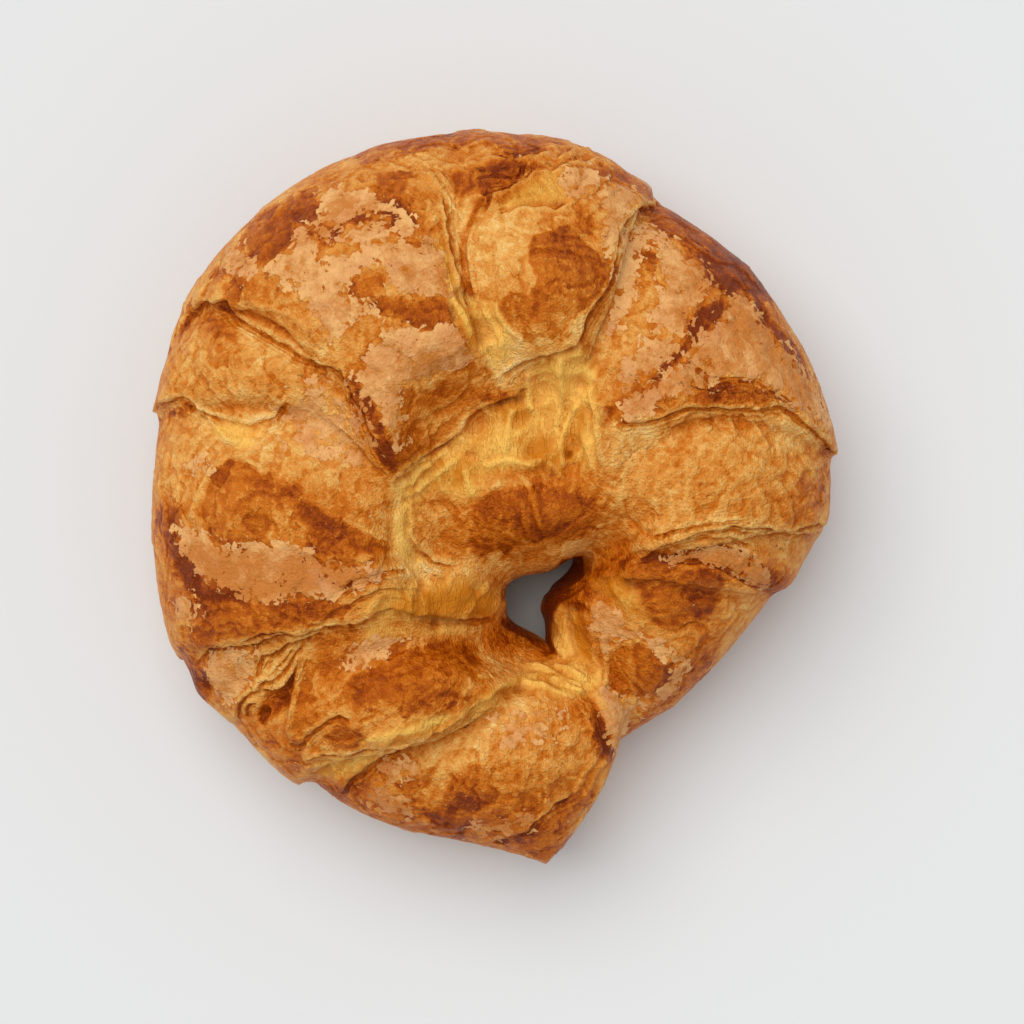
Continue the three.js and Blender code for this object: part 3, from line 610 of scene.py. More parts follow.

# Places browner (above 0) or paler (below 0) than what is around them: baked crust, painted shade in hollows,
# creases and the hole, and painted light; softness of the edge in pixels, how much on the scale of baking,
# corners in the photograph's pixels.
SHADES = {
    "crown_gaps": (10, 0.16, [
        (290, 240), (330, 212), (366, 196), (400, 206), (412, 230), (390, 226), (350, 222), (320, 240)]),
    "crinkles": (12, 0.2, [
        (466, 196), (474, 160), (505, 150), (535, 158), (538, 180), (500, 200), (476, 214)]),
    "right_edge": (14, 0.2, [
        (690, 250), (740, 258), (776, 310), (780, 346), (752, 340), (716, 320), (694, 286)]),
    "shoulder_top": (10, 0.2, [(676, 312), (712, 306), (722, 330), (692, 342)]),
    "shoulder": (16, 0.08, [(650, 340), (720, 330), (730, 390), (640, 410)]),
    "flap_side": (10, 0.22, [(346, 396), (366, 394), (392, 446), (396, 478), (374, 478), (358, 430)]),
    # pit and pit_upper: painted shade in pits.
    "pit": (4, 0.3, [(562, 450), (570, 449), (572, 459), (564, 461)]),
    "pit_upper": (8, 0.3, [(490, 398), (520, 392), (530, 408), (518, 424), (494, 422)]),
    "valley_right": (10, 0.18, [(548, 424), (566, 416), (574, 450), (566, 476), (540, 476), (532, 456)]),
    "valley_side": (12, -0.14, [(584, 424), (620, 420), (650, 436), (640, 468), (590, 472)]),
    "shoulder_band": (12, 0.12, [(260, 486), (310, 480), (358, 492), (366, 518), (320, 516), (276, 506)]),
    "left_skin": (14, 0.24, [
        (170, 540), (230, 552), (300, 552), (360, 566), (376, 580), (350, 596), (300, 604), (220, 600),
        (176, 580)]),
    # Painted shade in the gap beside the hole.
    "left_gap": (10, 0.34, [(400, 596), (470, 588), (498, 598), (494, 618), (400, 618)]),
    "horn_orange": (10, 0.12, [(622, 596), (646, 600), (660, 622), (636, 620)]),
    "flake_low": (10, 0.28, [
        (664, 556), (720, 552), (770, 566), (792, 576), (784, 604), (740, 580), (690, 576)]),
    "horn_edge": (10, 0.14, [
        (676, 624), (700, 614), (716, 640), (712, 670), (670, 704), (652, 700), (680, 660)]),
    # Painted shade in the crease where the horns meet.
    "joint_crease": (8, 0.24, [(574, 704), (592, 700), (608, 724), (606, 752), (590, 748)]),
    "horn_side": (10, -0.14, [(606, 650), (634, 640), (640, 700), (626, 724), (610, 700)]),
    "shoulder_end": (8, -0.3, [(772, 428), (800, 428), (820, 446), (800, 452), (776, 444)]),
    "dome_low": (14, -0.1, [
        (500, 292), (540, 330), (590, 300), (624, 300), (600, 340), (540, 350), (504, 330)]),
    # Painted shade in the hollow of the outline.
    "fan_side": (8, 0.35, [(190, 664), (204, 668), (212, 696), (204, 706), (192, 686)]),
    "fan_foot": (10, 0.14, [(240, 716), (274, 722), (308, 716), (306, 748), (276, 744), (246, 738)]),
    "fan_right": (10, 0.15, [(298, 690), (322, 690), (326, 722), (304, 738), (296, 716)]),
    # Painted shade below the wrap's leaf edge.
    "shade_below_wrap": (10, 0.3, [
        (318, 782), (346, 782), (372, 768), (392, 762), (388, 782), (352, 798), (330, 794)]),
    # Painted shade low on the horn.
    "horn_low": (14, 0.2, [
        (296, 776), (330, 784), (400, 796), (470, 800), (530, 814), (540, 846), (490, 852), (400, 836),
        (320, 804)]),
    "crown_lip": (14, -0.14, [
        (236, 312), (250, 298), (270, 288), (310, 312), (330, 350), (300, 356), (262, 342)]),
    # Painted highlight on the flap.
    "flap_pale": (10, -0.26, [
        (190, 404), (214, 400), (236, 420), (280, 410), (284, 430), (262, 446), (236, 452), (206, 440)]),
    "hollow_pale": (12, -0.12, [(296, 400), (330, 396), (352, 430), (344, 456), (312, 452)]),
    "ring_side": (6, -0.3, [
        (394, 480), (406, 478), (406, 530), (414, 554), (434, 566), (428, 584), (404, 578), (393, 540)]),
    # Painted highlight on the hole's rim.
    "hole_rim": (12, -0.24, [(552, 550), (568, 536), (584, 540), (592, 556), (566, 562)]),
    # hole_wall and wall_top: painted shade on the hole's right wall.
    "hole_wall": (5, 0.4, [
        (582, 557), (562, 560), (551, 578), (543, 600), (541, 630), (551, 650), (551, 620), (557, 604),
        (566, 592), (580, 580)]),
    "wall_top": (8, 0.12, [(552, 608), (573, 587), (586, 580), (596, 592), (590, 612), (570, 606)]),
    "hole_side": (10, -0.14, [(474, 652), (530, 650), (536, 664), (500, 676), (478, 668)]),
    "dome_foot": (10, -0.26, [(482, 318), (508, 328), (530, 356), (506, 392), (472, 386), (486, 352)]),
    "right_side": (8, -0.15, [(612, 248), (630, 246), (632, 284), (616, 290)]),
    "joint": (10, -0.2, [
        (440, 746), (470, 728), (500, 706), (528, 690), (536, 704), (506, 726), (470, 744)]),
    "left_flap": (14, -0.12, [
        (184, 330), (204, 318), (250, 340), (300, 352), (290, 370), (240, 360), (190, 366)]),
    "cells": (10, -0.2, [(526, 366), (556, 362), (590, 372), (592, 400), (560, 404), (528, 400)]),
    "inner_pale": (10, -0.12, [(408, 404), (440, 402), (494, 404), (490, 440), (456, 444), (420, 430)]),
    "lip_start": (10, 0.14, [(606, 394), (650, 376), (672, 384), (660, 406), (626, 414)]),
    "seam_orange": (8, 0.2, [
        (428, 226), (444, 226), (456, 270), (480, 322), (470, 340), (446, 306), (436, 270)]),
    "dome_pale": (12, -0.2, [
        (470, 240), (482, 222), (512, 212), (540, 216), (524, 240), (512, 262), (500, 290), (480, 290)]),
    "horn_band": (6, 0.22, [
        (571, 610), (580, 614), (590, 636), (597, 660), (588, 664), (577, 650), (571, 626)]),
    # Painted shade under the crown's leaf edge.
    "shade_under_crown_lip": (12, 0.22, [(204, 322), (236, 322), (246, 350), (240, 372), (216, 366)]),
    "dough_low": (10, 0.25, [(420, 462), (470, 460), (478, 484), (432, 490)]),
    "dough_middle": (10, 0.2, [(508, 440), (548, 436), (552, 468), (514, 472)]),
    "horn_mark": (10, 0.2, [
        (494, 764), (526, 762), (530, 790), (540, 800), (544, 818), (520, 818), (500, 792)]),
    "hole_right": (8, 0.24, [(594, 548), (624, 544), (630, 598), (604, 604), (594, 580)]),
    "ring_low": (8, -0.15, [(426, 558), (452, 562), (500, 552), (508, 568), (480, 576), (430, 576)]),
    "knob_right": (12, 0.14, [(548, 474), (600, 470), (610, 500), (560, 512)]),
    "knob_low": (8, 0.14, [(520, 534), (560, 532), (566, 550), (526, 558)]),
    "wrap_side": (10, 0.14, [(322, 640), (350, 624), (356, 650), (336, 690), (320, 680)]),
    "lip_fold": (8, 0.2, [(384, 736), (440, 712), (486, 680), (492, 692), (446, 726), (400, 744)]),
    "crown_corner": (6, -0.3, [(630, 212), (650, 210), (652, 230), (634, 232)]),
    "wrap_edge": (8, -0.15, [(720, 530), (790, 534), (800, 546), (730, 548)]),
    # Painted shade on the hole's lower rim.
    "hole_low": (8, 0.2, [(484, 624), (510, 626), (540, 644), (550, 662), (520, 654), (488, 646)]),
    # Painted light that lightens the shade in the seam's groove.
    "seam_groove": (8, -0.24, [(444, 196), (470, 196), (474, 286), (456, 286)]),
    # Painted light that lightens the shade in the groove under the crown's edge.
    "light_in_crown_groove": (8, -0.14, [(232, 312), (276, 328), (330, 350), (322, 364), (280, 350), (246, 342)]),
    "ring_foot": (8, -0.15, [(402, 540), (420, 556), (446, 566), (440, 580), (410, 568)]),
}

# Small browner (+) and paler (-) places, some of them painted shade under the crown's edge and round the
# hole:
# shift, centre and half sizes in the photograph's pixels.
TINTS = {
    # Painted shade under the crown's leaf edge.
    "crown_lip_end": (0.2, (217, 326), (14, 18)),
    "crown_middle": (0.14, (372, 370), (18, 18)),
    "left_hollow_low": (0.14, (366, 474), (22, 20)),
    "left_hollow_foot": (0.14, (342, 522), (14, 26)),
    "shoulder_top": (0.17, (306, 566), (18, 14)),
    "swirl_right": (0.16, (460, 522), (16, 18)),
    "dome_right": (0.14, (708, 494), (20, 30)),
    "right_shoulder": (0.16, (754, 330), (22, 16)),
    "right_rim": (0.16, (795, 380), (12, 26)),
    "left_side": (0.16, (180, 604), (18, 14)),
    "horn_bottom": (0.14, (490, 804), (18, 14)),
    "joint_left": (0.16, (550, 680), (18, 10)),
    "crown_pale": (-0.18, (290, 298), (22, 14)),
    "crown_rim": (-0.16, (288, 198), (24, 10)),
    "seam_foot": (-0.15, (506, 352), (14, 14)),
    "shoulder_pale": (-0.12, (638, 328), (16, 22)),
    "dome_left": (-0.12, (648, 448), (12, 18)),
    "left_rim": (-0.14, (164, 462), (16, 24)),
    "fan_foot": (-0.16, (278, 756), (16, 16)),
    "horn_orange_band": (0.2, (582, 628), (8, 26)),
    "wrap_pale": (-0.12, (662, 440), (24, 16)),
    "lip_pale": (-0.1, (650, 428), (30, 10)),
    "tongue_top": (0.15, (562, 616), (12, 20)),
    # Painted shade on the top of the hole's wall.
    "shade_at_wall_end": (0.25, (596, 578), (14, 12)),
    # Painted shade in the gap beside the hole.
    "left_gap": (0.15, (450, 600), (20, 18)),
    # Painted shade on the hole's lower rim.
    "shade_at_low_hole_rim": (0.12, (502, 642), (24, 12)),
    "top_groove": (0.14, (514, 194), (18, 12)),
    "seam_top": (0.12, (468, 208), (12, 16)),
    "crown_right": (0.12, (418, 250), (14, 18)),
    "crown_far_left": (0.12, (250, 262), (12, 12)),
    "crown_upper": (0.1, (316, 224), (22, 14)),
    "crown_lip": (0.1, (276, 340), (24, 10)),
    "seam_middle": (0.1, (462, 338), (14, 14)),
    "shoulder_lip": (0.12, (700, 402), (36, 8)),
    "right_foot": (0.12, (784, 588), (16, 12)),
    "horn_joint": (0.12, (574, 728), (12, 14)),
    "tip_left": (0.12, (552, 790), (16, 14)),
    "right_streak": (-0.15, (764, 310), (12, 16)),
    "flap_inner": (-0.12, (466, 378), (12, 16)),
    "band_top": (-0.12, (312, 598), (22, 10)),
    "flap_top": (-0.12, (234, 396), (18, 8)),
    "knob_left": (-0.1, (494, 494), (14, 10)),
    "right_crown_side": (-0.12, (566, 312), (14, 30)),
    "crown_gap": (-0.1, (338, 346), (14, 12)),
    "crown_fleck": (-0.1, (380, 286), (12, 14)),
    "flap_rim": (-0.1, (188, 372), (14, 10)),
    "rim_pale": (-0.12, (204, 450), (18, 14)),
    "blister_top": (-0.14, (264, 456), (20, 12)),
    "shoulder_gap": (-0.12, (298, 520), (14, 10)),
    "right_pale": (-0.1, (776, 474), (22, 16)),
    "top_leaf": (0.08, (575, 192), (18, 22)),
    "left_top": (-0.08, (340, 466), (46, 26)),
}


def smoothstep(value, low, high):
    share = np.clip((value - low) / (high - low), 0, 1)
    return share * share * (3 - 2 * share)


class Surface:
    """A mesh as arrays: its corners in mm, their normals, and where the photograph shows them."""

    def __init__(self, mesh):
        self.mesh = mesh
        self.points = np.empty(len(mesh.vertices) * 3)
        mesh.vertices.foreach_get("co", self.points)
        self.points = self.points.reshape(-1, 3) / MM
        self.edges = np.empty(len(mesh.edges) * 2, int)
        mesh.edges.foreach_get("vertices", self.edges)
        self.edges = self.edges.reshape(-1, 2)
        self.refresh()

    def refresh(self):
        """Takes moved points over into the mesh, and works out normals and photograph pixels again."""
        self.mesh.vertices.foreach_set("co", (self.points * MM).ravel())
        self.mesh.update()
        self.normals = np.empty(len(self.points) * 3)
        self.mesh.vertex_normals.foreach_get("vector", self.normals)
        self.normals = self.normals.reshape(-1, 3)
        away = CAMERA_HEIGHT - self.points[:, 2]
        aside = (self.points[:, :2] - CAMERA_XY) * FOCAL_PX / away[:, None]
        self.pixels = PHOTO / 2 + aside * (1, -1)
        to_camera = np.array((*CAMERA_XY, CAMERA_HEIGHT)) - self.points
        to_camera /= np.linalg.norm(to_camera, axis=1)[:, None]
        self.facing = np.einsum("ij,ij->i", self.normals, to_camera)

    def smooth(self, rounds, share):
        """Smooths the corners by their share, with only those and their neighbours looked at."""
        moving = share > 0
        edges = self.edges[moving[self.edges].any(1)]
        used, edges = np.unique(edges, return_inverse=True)
        edges = edges.reshape(-1, 2)
        points = self.points[used]
        neighbours = np.bincount(edges.ravel(), minlength=len(used))[:, None]
        pull = share[used][:, None] / neighbours
        for _ in range(rounds):
            points = points + pull * (neighbour_sums(edges, points) - neighbours * points)
        self.points[used] = points

    def bulge(self, rounds):
        """How far each corner stands out of its surroundings, in mm. More rounds reach further."""
        smoothed = self.points
        neighbours = np.bincount(self.edges.ravel(), minlength=len(smoothed))[:, None]
        for _ in range(rounds):
            smoothed = neighbour_sums(self.edges, smoothed) / neighbours
        return np.einsum("ij,ij->i", self.points - smoothed, self.normals)

    def lumps(self, size, octaves=1):
        """Smooth noise from about -1 to 1 with lumps of this size in mm."""
        return fractal(self.points / size, octaves)

    def stray(self, far, size, octaves):
        """Noise that goes about this far to both sides, with lumps of this size, both in mm."""
        return far * self.lumps(size, octaves)

    def stretched(self, turns, lengthwise, octaves):
        """Noise from about -1 to 1 that is drawn out from the hole outwards, as the dough was rolled."""
        bend, bend_size = CREASE_BEND
        offset = self.points[:, :2] - HOLE_XY
        reach = np.linalg.norm(offset, axis=1)
        direction = offset / reach[:, None] * turns + bend * self.lumps(bend_size)[:, None]
        return fractal(np.column_stack([direction, (reach + self.points[:, 2]) * lengthwise]), octaves)

    def store(self, name, values):
        attribute = self.mesh.attributes.new(name, "FLOAT", "POINT")
        attribute.data.foreach_set("value", values.astype(np.float32))


def neighbour_sums(edges, values):
    """For each corner, the sum of what its neighbours have."""
    first, second = edges.T
    total = np.empty_like(values)
    for k in range(values.shape[1]):
        total[:, k] = np.bincount(first, values[second, k], len(values))
        total[:, k] += np.bincount(second, values[first, k], len(values))
    return total


def fractal(places, octaves):
    """Smooth noise from about -1 to 1 at these places."""
    values = [noise.fractal(place, OCTAVE_FALL, OCTAVE_FINENESS, octaves) for place in places.tolist()]
    return np.array(values)


def along(pixels, path):
    """(signed distance, share of the path's length) of the nearest place on a path, in pixels.
    The distance is positive on the left hand of someone who walks along the path."""
    path = np.array(path, float)
    steps = np.diff(path, axis=0)
    lengths = np.linalg.norm(steps, axis=1)
    begun = np.concatenate([[0], np.cumsum(lengths)])
    best = np.full(len(pixels), np.inf)
    side = np.ones(len(pixels))
    share = np.zeros(len(pixels))
    for start, step, length, before in zip(path, steps, lengths, begun):
        offset = pixels - start
        t = np.clip(offset @ step / length ** 2, 0, 1)
        distance = np.linalg.norm(offset - t[:, None] * step, axis=1)
        nearer = distance < best
        best[nearer] = distance[nearer]
        side[nearer] = np.sign(step[1] * offset[nearer, 0] - step[0] * offset[nearer, 1])
        share[nearer] = (before + t[nearer] * length) / begun[-1]
    return best * side, share


def depth_in(pixels, corners):
    """How deep each pixel lies in a polygon, in pixels, negative outside."""
    closed = np.array([*corners, corners[0]], float)
    distance, _ = along(pixels, closed)
    inside = np.zeros(len(pixels), bool)
    x, y = pixels.T
    for (x0, y0), (x1, y1) in zip(closed, closed[1:]):
        if y0 != y1:
            inside ^= ((y0 > y) != (y1 > y)) & (x < x0 + (y - y0) / (y1 - y0) * (x1 - x0))
    return np.where(inside, 1, -1) * np.abs(distance)


def near(pixels, places, margin):
    """The numbers of the pixels in the box round these places."""
    places = np.array(places, float)
    low = places.min(0) - margin
    high = places.max(0) + margin
    return np.flatnonzero(((pixels > low) & (pixels < high)).all(1))


def depths(pixels, patches):
    """For each patch its softness, its other values, the pixels near it and how deep they lie in it."""
    for softness, *others, corners in patches.values():
        close = near(pixels, corners, PATCH_MARGIN * softness)
        yield softness, others, close, depth_in(pixels[close], corners)


def patch_field(pixels, patches):
    """How deep each pixel lies in the patches, as a share of their softness, from OUTSIDE to -OUTSIDE."""
    field = np.full(len(pixels), OUTSIDE)
    for softness, _, close, depth in depths(pixels, patches):
        field[close] = np.maximum(field[close], np.clip(depth / softness, OUTSIDE, -OUTSIDE))
    return field


def patch_tone(pixels):
    """How dark the browned places and the places of painted shade are at each pixel, from 0 to 1."""
    tone = np.full(len(pixels), PLAIN_TONE)
    for softness, (dark,), close, depth in depths(pixels, BROWN):
        tone[close] += (dark - tone[close]) * smoothstep(depth, -softness, softness)
    return tone


def patch_shade(pixels):
    """How much browner or paler than its surroundings each pixel is, painted shade and painted light
    included.
    """
    shade = np.zeros(len(pixels))
    for softness, (shift,), close, depth in depths(pixels, SHADES):
        shade[close] += shift * smoothstep(depth, -softness, softness)
    for shift, centre, sizes in TINTS.values():
        shade += shift * np.exp(-(((pixels - centre) / sizes) ** 2).sum(axis=1))
    return shade


def made_from_solid():
    """A new object with the croissant's shape as an even mesh."""
    welded = bmesh.new()
    welded.from_mesh(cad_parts["croissant"].data)
    bmesh.ops.remove_doubles(welded, verts=welded.verts, dist=WELD * MM)
    mesh = bpy.data.meshes.new("crust")
    welded.to_mesh(mesh)
    welded.free()
    piece = bpy.data.objects.new("crust", mesh)
    bpy.context.scene.collection.objects.link(piece)
    rounding = piece.modifiers.new("rounding", "SUBSURF")
    rounding.levels = 1
    rounding.render_levels = 1
    even = piece.modifiers.new("even", "REMESH")
    even.mode = "VOXEL"
    even.voxel_size = VOXEL * MM
    even.use_smooth_shade = True
    apply_modifiers(piece)
    return piece


def apply_modifiers(piece):
    evaluated = piece.evaluated_get(bpy.context.evaluated_depsgraph_get())
    mesh = bpy.data.meshes.new_from_object(evaluated)
    piece.modifiers.clear()
    piece.data = mesh


def thin_out(piece):
    """Brings the mesh down to the triangles that it may have, most of them where it bends."""
    piece.data.calc_loop_triangles()
    fewer = piece.modifiers.new("fewer", "DECIMATE")
    fewer.ratio = min(1, MOST_TRIANGLES / len(piece.data.loop_triangles))
    fewer.use_collapse_triangulate = True
    apply_modifiers(piece)
    piece.data.polygons.foreach_set("use_smooth", [True] * len(piece.data.polygons))


def drop_bubbles(piece):
    """Drops the bubbles that the even mesh holds inside: all that isn't joined to its highest corner."""
    work = bmesh.new()
    work.from_mesh(piece.data)
    top = max(work.verts, key=lambda vert: vert.co.z)
    joined = {top}
    front = [top]
    while front:
        vert = front.pop()
        for edge in vert.link_edges:
            other = edge.other_vert(vert)
            if other not in joined:
                joined.add(other)
                front.append(other)
    inside = [vert for vert in work.verts if vert not in joined]
    bmesh.ops.delete(work, geom=inside, context="VERTS")
    work.to_mesh(piece.data)
    work.free()


def smooth_places(surface):
    """Smooths the solid's flat faces and creases away where the photograph shows none."""
    for rounds, corners in SMOOTH_PLACES.values():
        depth = depth_in(surface.pixels, corners)
        share = SMOOTH_SHARE * smoothstep(depth, *SMOOTH_EDGE) * smoothstep(surface.facing, *SMOOTHED)
        surface.smooth(rounds, share)
        surface.refresh()


def ends_fade(share):
    return smoothstep(share, 0, END_FADE) * smoothstep(share, 1, 1 - END_FADE)


def lip_form(side, high, low, high_reach, low_reach):
    """A leaf edge: raised on the high side and hollow on the low one, with a steep step between."""
    step = smoothstep(side, -LIP_SHARP, LIP_SHARP)
    raised = high * np.exp(-np.maximum(side, 0) / high_reach)
    hollow = low * np.exp(np.minimum(side, 0) / low_reach)
    return step * raised - (1 - step) * hollow


def lip_heights(surface):
    height = np.zeros(len(surface.points))
    stray = surface.stray(*LIP_STRAY)
    shallow = LEAST_HOLLOW + (1 - LEAST_HOLLOW) * smoothstep(surface.facing, *HOLLOWS_SEEN)
    for high, low, high_reach, low_reach, path in LIPS.values():
        close = near(surface.pixels, path, LINE_MARGIN * max(high_reach, low_reach) / MM_PER_PX)
        distance, share = along(surface.pixels[close], path)
        side = distance * MM_PER_PX + stray[close]
        height[close] += lip_form(side, high, low * shallow[close], high_reach, low_reach) * ends_fade(share)
    return height


def side_lips(surface):
    """(height of the leaf edges on the sides, signed distance of the nearest one), both in mm."""
    offset = surface.points[:, :2] - HOLE_XY
    reach = np.linalg.norm(offset, axis=1)
    turn = np.arctan2(offset[:, 1], offset[:, 0])
    outer = smoothstep(reach, *SIDE_STARTS)
    wander = surface.stray(*SIDE_STRAY) + surface.stray(*LIP_STRAY)
    height = np.zeros(len(reach))
    nearest = np.full(len(reach), FAR)
    for high, low, hand, lean, (x, y) in SIDE_LIPS.values():
        there = np.arctan2(HOLE_PIXEL[1] - y, x - HOLE_PIXEL[0])
        arc = ((turn - there + np.pi) % (2 * np.pi) - np.pi) * reach
        side = hand * arc + lean * (surface.points[:, 2] - SIDE_MIDDLE) + wander
        height += outer * lip_form(side, high, low, *SIDE_REACHES)
        nearest = np.where(np.abs(side) < np.abs(nearest), side, nearest)
    return height, nearest


def ridge_heights(surface):
    height = np.zeros(len(surface.points))
    stray = surface.stray(*STRAND_STRAY)
    for high, width, path in RIDGES.values():
        close = near(surface.pixels, path, LINE_MARGIN * width / MM_PER_PX)
        distance, share = along(surface.pixels[close], path)
        side = (distance * MM_PER_PX + stray[close]) / width
        height[close] += high * np.exp(-side ** 2) * ends_fade(share)
    return height


def dome_heights(surface):
    height = np.zeros(len(surface.points))
    for high, centre, sizes, turn in DOMES.values():
        angle = np.radians(turn)
        offset = surface.pixels - centre
        long = offset[:, 0] * np.cos(angle) + offset[:, 1] * np.sin(angle)
        wide = offset[:, 1] * np.cos(angle) - offset[:, 0] * np.sin(angle)
        spread = (long / sizes[0]) ** 2 + (wide / sizes[1]) ** 2
        height += high * np.maximum(1 - spread, 0) ** DOME_ROUNDNESS
    return height


def ledges(surface, size, count):
    """Thin leaves that lie on each other: a slow rise and then a sudden drop, from about -0.5 to 0.5."""
    wander = LEDGE_WANDER * surface.lumps(size / LEDGE_WANDER_PART, octaves=3)
    share = count * (surface.lumps(size, octaves=2) + wander) % 1
    return share * smoothstep(share, 1, 1 - LEDGE_DROP) - LEDGE_MEAN


def folds(noise_values):
    """Noise as sharp folds about the height 0."""
    return np.abs(noise_values) - FOLD_MEAN


def crust_relief(surface, crusty):
    """Lumps all over, and creases and thin leaves where there is crust, in mm."""
    relief = sum(high * surface.lumps(size, octaves=2) for high, size in LUMPS.values())
    high, *fineness = FINE_CREASES
    leaves = high * surface.stretched(*fineness, octaves=2)
    high, *fineness = CREASES
    leaves += high * folds(surface.stretched(*fineness, octaves=2))
    high, size = CRACKLE
    leaves += high * folds(surface.lumps(size, octaves=2))
    for high, size, count in LEDGES.values():
        leaves += high * ledges(surface, size, count)
    return relief + crusty * leaves


def dough_relief(surface, web):
    """A web of strands with pits between them, in mm."""
    pits = smoothstep(surface.lumps(PIT_SIZE), *PIT_EDGE)
    return WEB_HEIGHT * web - PIT_DEPTH * pits - DOUGH_DEPTH


def nearest_line(pixels, table, reach):
    """The signed distance in mm of the nearest path in a table, and how close it is: from 1 on the path
    to 0 halfway to the next one."""
    nearest = np.full(len(pixels), FAR)
    second = np.full(len(pixels), FAR)
    close_by = np.zeros(len(pixels))
    for *_, path in table.values():
        close = near(pixels, path, NEAREST_MARGIN * reach / MM_PER_PX)
        distance, share = along(pixels[close], path)
        distance *= MM_PER_PX
        closer = np.abs(distance) < np.abs(nearest[close])
        farther = np.maximum(np.abs(distance), np.abs(nearest[close]))
        second[close] = np.minimum(second[close], farther)
        nearest[close] = np.where(closer, distance, nearest[close])
        fade = ends_fade(share) * np.exp(-(distance / reach) ** 2)
        close_by[close] = np.where(closer, fade, close_by[close])
    return nearest, close_by * smoothstep(second - np.abs(nearest), *LEAD)


def store_lines(surface, seen, side_lip):
    """Stores how far the nearest leaf edge and the nearest strand are, and how much they count."""
    lip, lipped = nearest_line(surface.pixels, LIPS, LIP_REACH)
    strand, stranded = nearest_line(surface.pixels, RIDGES, STRAND_REACH)
    on_top = seen > HALF_SEEN
    top_lipped = lipped * smoothstep(seen, HALF_SEEN, HALF_SEEN + TAKEOVER)
    side_fade = smoothstep(seen, HALF_SEEN, HALF_SEEN - TAKEOVER)
    side_lipped = side_fade * np.exp(-(side_lip / LIP_REACH) ** 2)
    surface.store("lip", np.where(on_top, lip + surface.stray(*LIP_STRAY), side_lip))
    surface.store("lipped", np.where(on_top, top_lipped, side_lipped))
    surface.store("strand", np.abs(strand + surface.stray(*STRAND_STRAY)))
    surface.store("stranded", stranded * seen)


def draw_outline(surface):
    """Draws parts of the outline out or in, and the foot of the hole's wall into the hole."""
    for centre, reach, pull in PULLS.values():
        share = np.exp(-np.linalg.norm(surface.pixels - centre, axis=1) / reach)
        surface.points += share[:, None] * pull
    wall, _ = along(surface.pixels, WALL)
    foot = smoothstep(np.abs(wall), *WALL_REACH) * smoothstep(surface.points[:, 2], *WALL_HEIGHTS)
    surface.points += foot[:, None] * WALL_PUSH


def shape(piece):
    """Smooths the solid's form, and raises leaves, folds and lumps on it."""
    surface = Surface(piece.data)
    smooth_places(surface)
    seen = smoothstep(surface.facing, *SEEN)
    doughy = smoothstep(patch_field(surface.pixels, DOUGH), *DOUGH_EDGE) * seen
    web = np.maximum(1 - np.abs(surface.lumps(WEB_SIZE, octaves=2)) / WEB_WIDTH, 0)
    side_height, side_lip = side_lips(surface)
    height = seen * (dome_heights(surface) + ridge_heights(surface))
    height += smoothstep(surface.facing, *LIPS_SEEN) * lip_heights(surface)
    height += (LEAST_RELIEF + (1 - LEAST_RELIEF) * seen) * crust_relief(surface, 1 - doughy)
    height += doughy * dough_relief(surface, web)
    height += smoothstep(surface.facing, *SIDES_SEEN) * side_height - SIDE_INSET * (1 - seen)
    surface.store("web", web * doughy)
    store_lines(surface, seen, side_lip)
    above_table = smoothstep(surface.points[:, 2], *ABOVE_TABLE)
    surface.points += surface.normals * (height * above_table)[:, None]
    draw_outline(surface)
    surface.refresh()


def paint(piece):
    """Stores the fields that the material is painted from: those of the photograph where it shows the
    surface, and others on the unseen sides."""
    surface = Surface(piece.data)
    pixels = surface.pixels
    seen = smoothstep(surface.facing, *PAINT_SEEN)
    inside = smoothstep(np.linalg.norm(surface.points[:, :2] - HOLE_XY, axis=1), *HOLE_WALLS)
    strength, *fineness = SIDE_STREAKS
    side_brown = strength * surface.stretched(*fineness, octaves=3) + SIDE_BROWN_BASE
    side_brown += SIDE_BROWN_RISE * smoothstep(surface.points[:, 2], *SIDE_BROWN_HEIGHTS)
    side_skin = surface.stray(*SIDE_SKIN, octaves=2) + SIDE_SKIN_BASE
    fields = {
        "brown": (patch_field(pixels, BROWN), side_brown),
        "skin": (patch_field(pixels, SKIN), side_skin),
        "dough": (patch_field(pixels, DOUGH), OUTSIDE),
        "tone": (patch_tone(pixels), SIDE_TONE),
        # shade: browning and paleness with painted shade and painted light among them; on the unseen sides,
        # paler walls in the hole.
        "shade": (patch_shade(pixels), HOLE_WALLS_SHADE * inside),
    }
    for name, (shown, unseen) in fields.items():
        surface.store(name, shown * seen + unseen * (1 - seen))
    surface.store("bulge", surface.bulge(BULGE_ROUNDS))
    surface.store("swell", surface.bulge(SWELL_ROUNDS))
    surface.store("wide", surface.lumps(WIDE_SIZE, octaves=2))
    surface.store("middle", surface.lumps(MIDDLE_SIZE, octaves=3))


def linear(*srgb):
    """A colour of the photograph, from 0 to 255, as the linear colour that shaders take."""
    share = np.array(srgb) / 255
    return (*np.where(share <= 0.04045, share / 12.92, ((share + 0.055) / 1.055) ** 2.4), 1)


# How far the crust is baked, from 0 to 1, and the colour that the photograph has there.
BAKED = {
    0.0: linear(252, 213, 140),
    0.2: linear(244, 186, 101),
    0.4: linear(229, 152, 65),
    0.6: linear(207, 112, 19),
    0.8: linear(172, 78, 0),
    1.0: linear(126, 47, 0),
}
PEACH = linear(241, 183, 114)
TAN = linear(203, 123, 52)
ROSE = linear(218, 148, 92)
YELLOW = linear(250, 194, 92)
AMBER = linear(210, 126, 24)
SPECULAR = 0.12

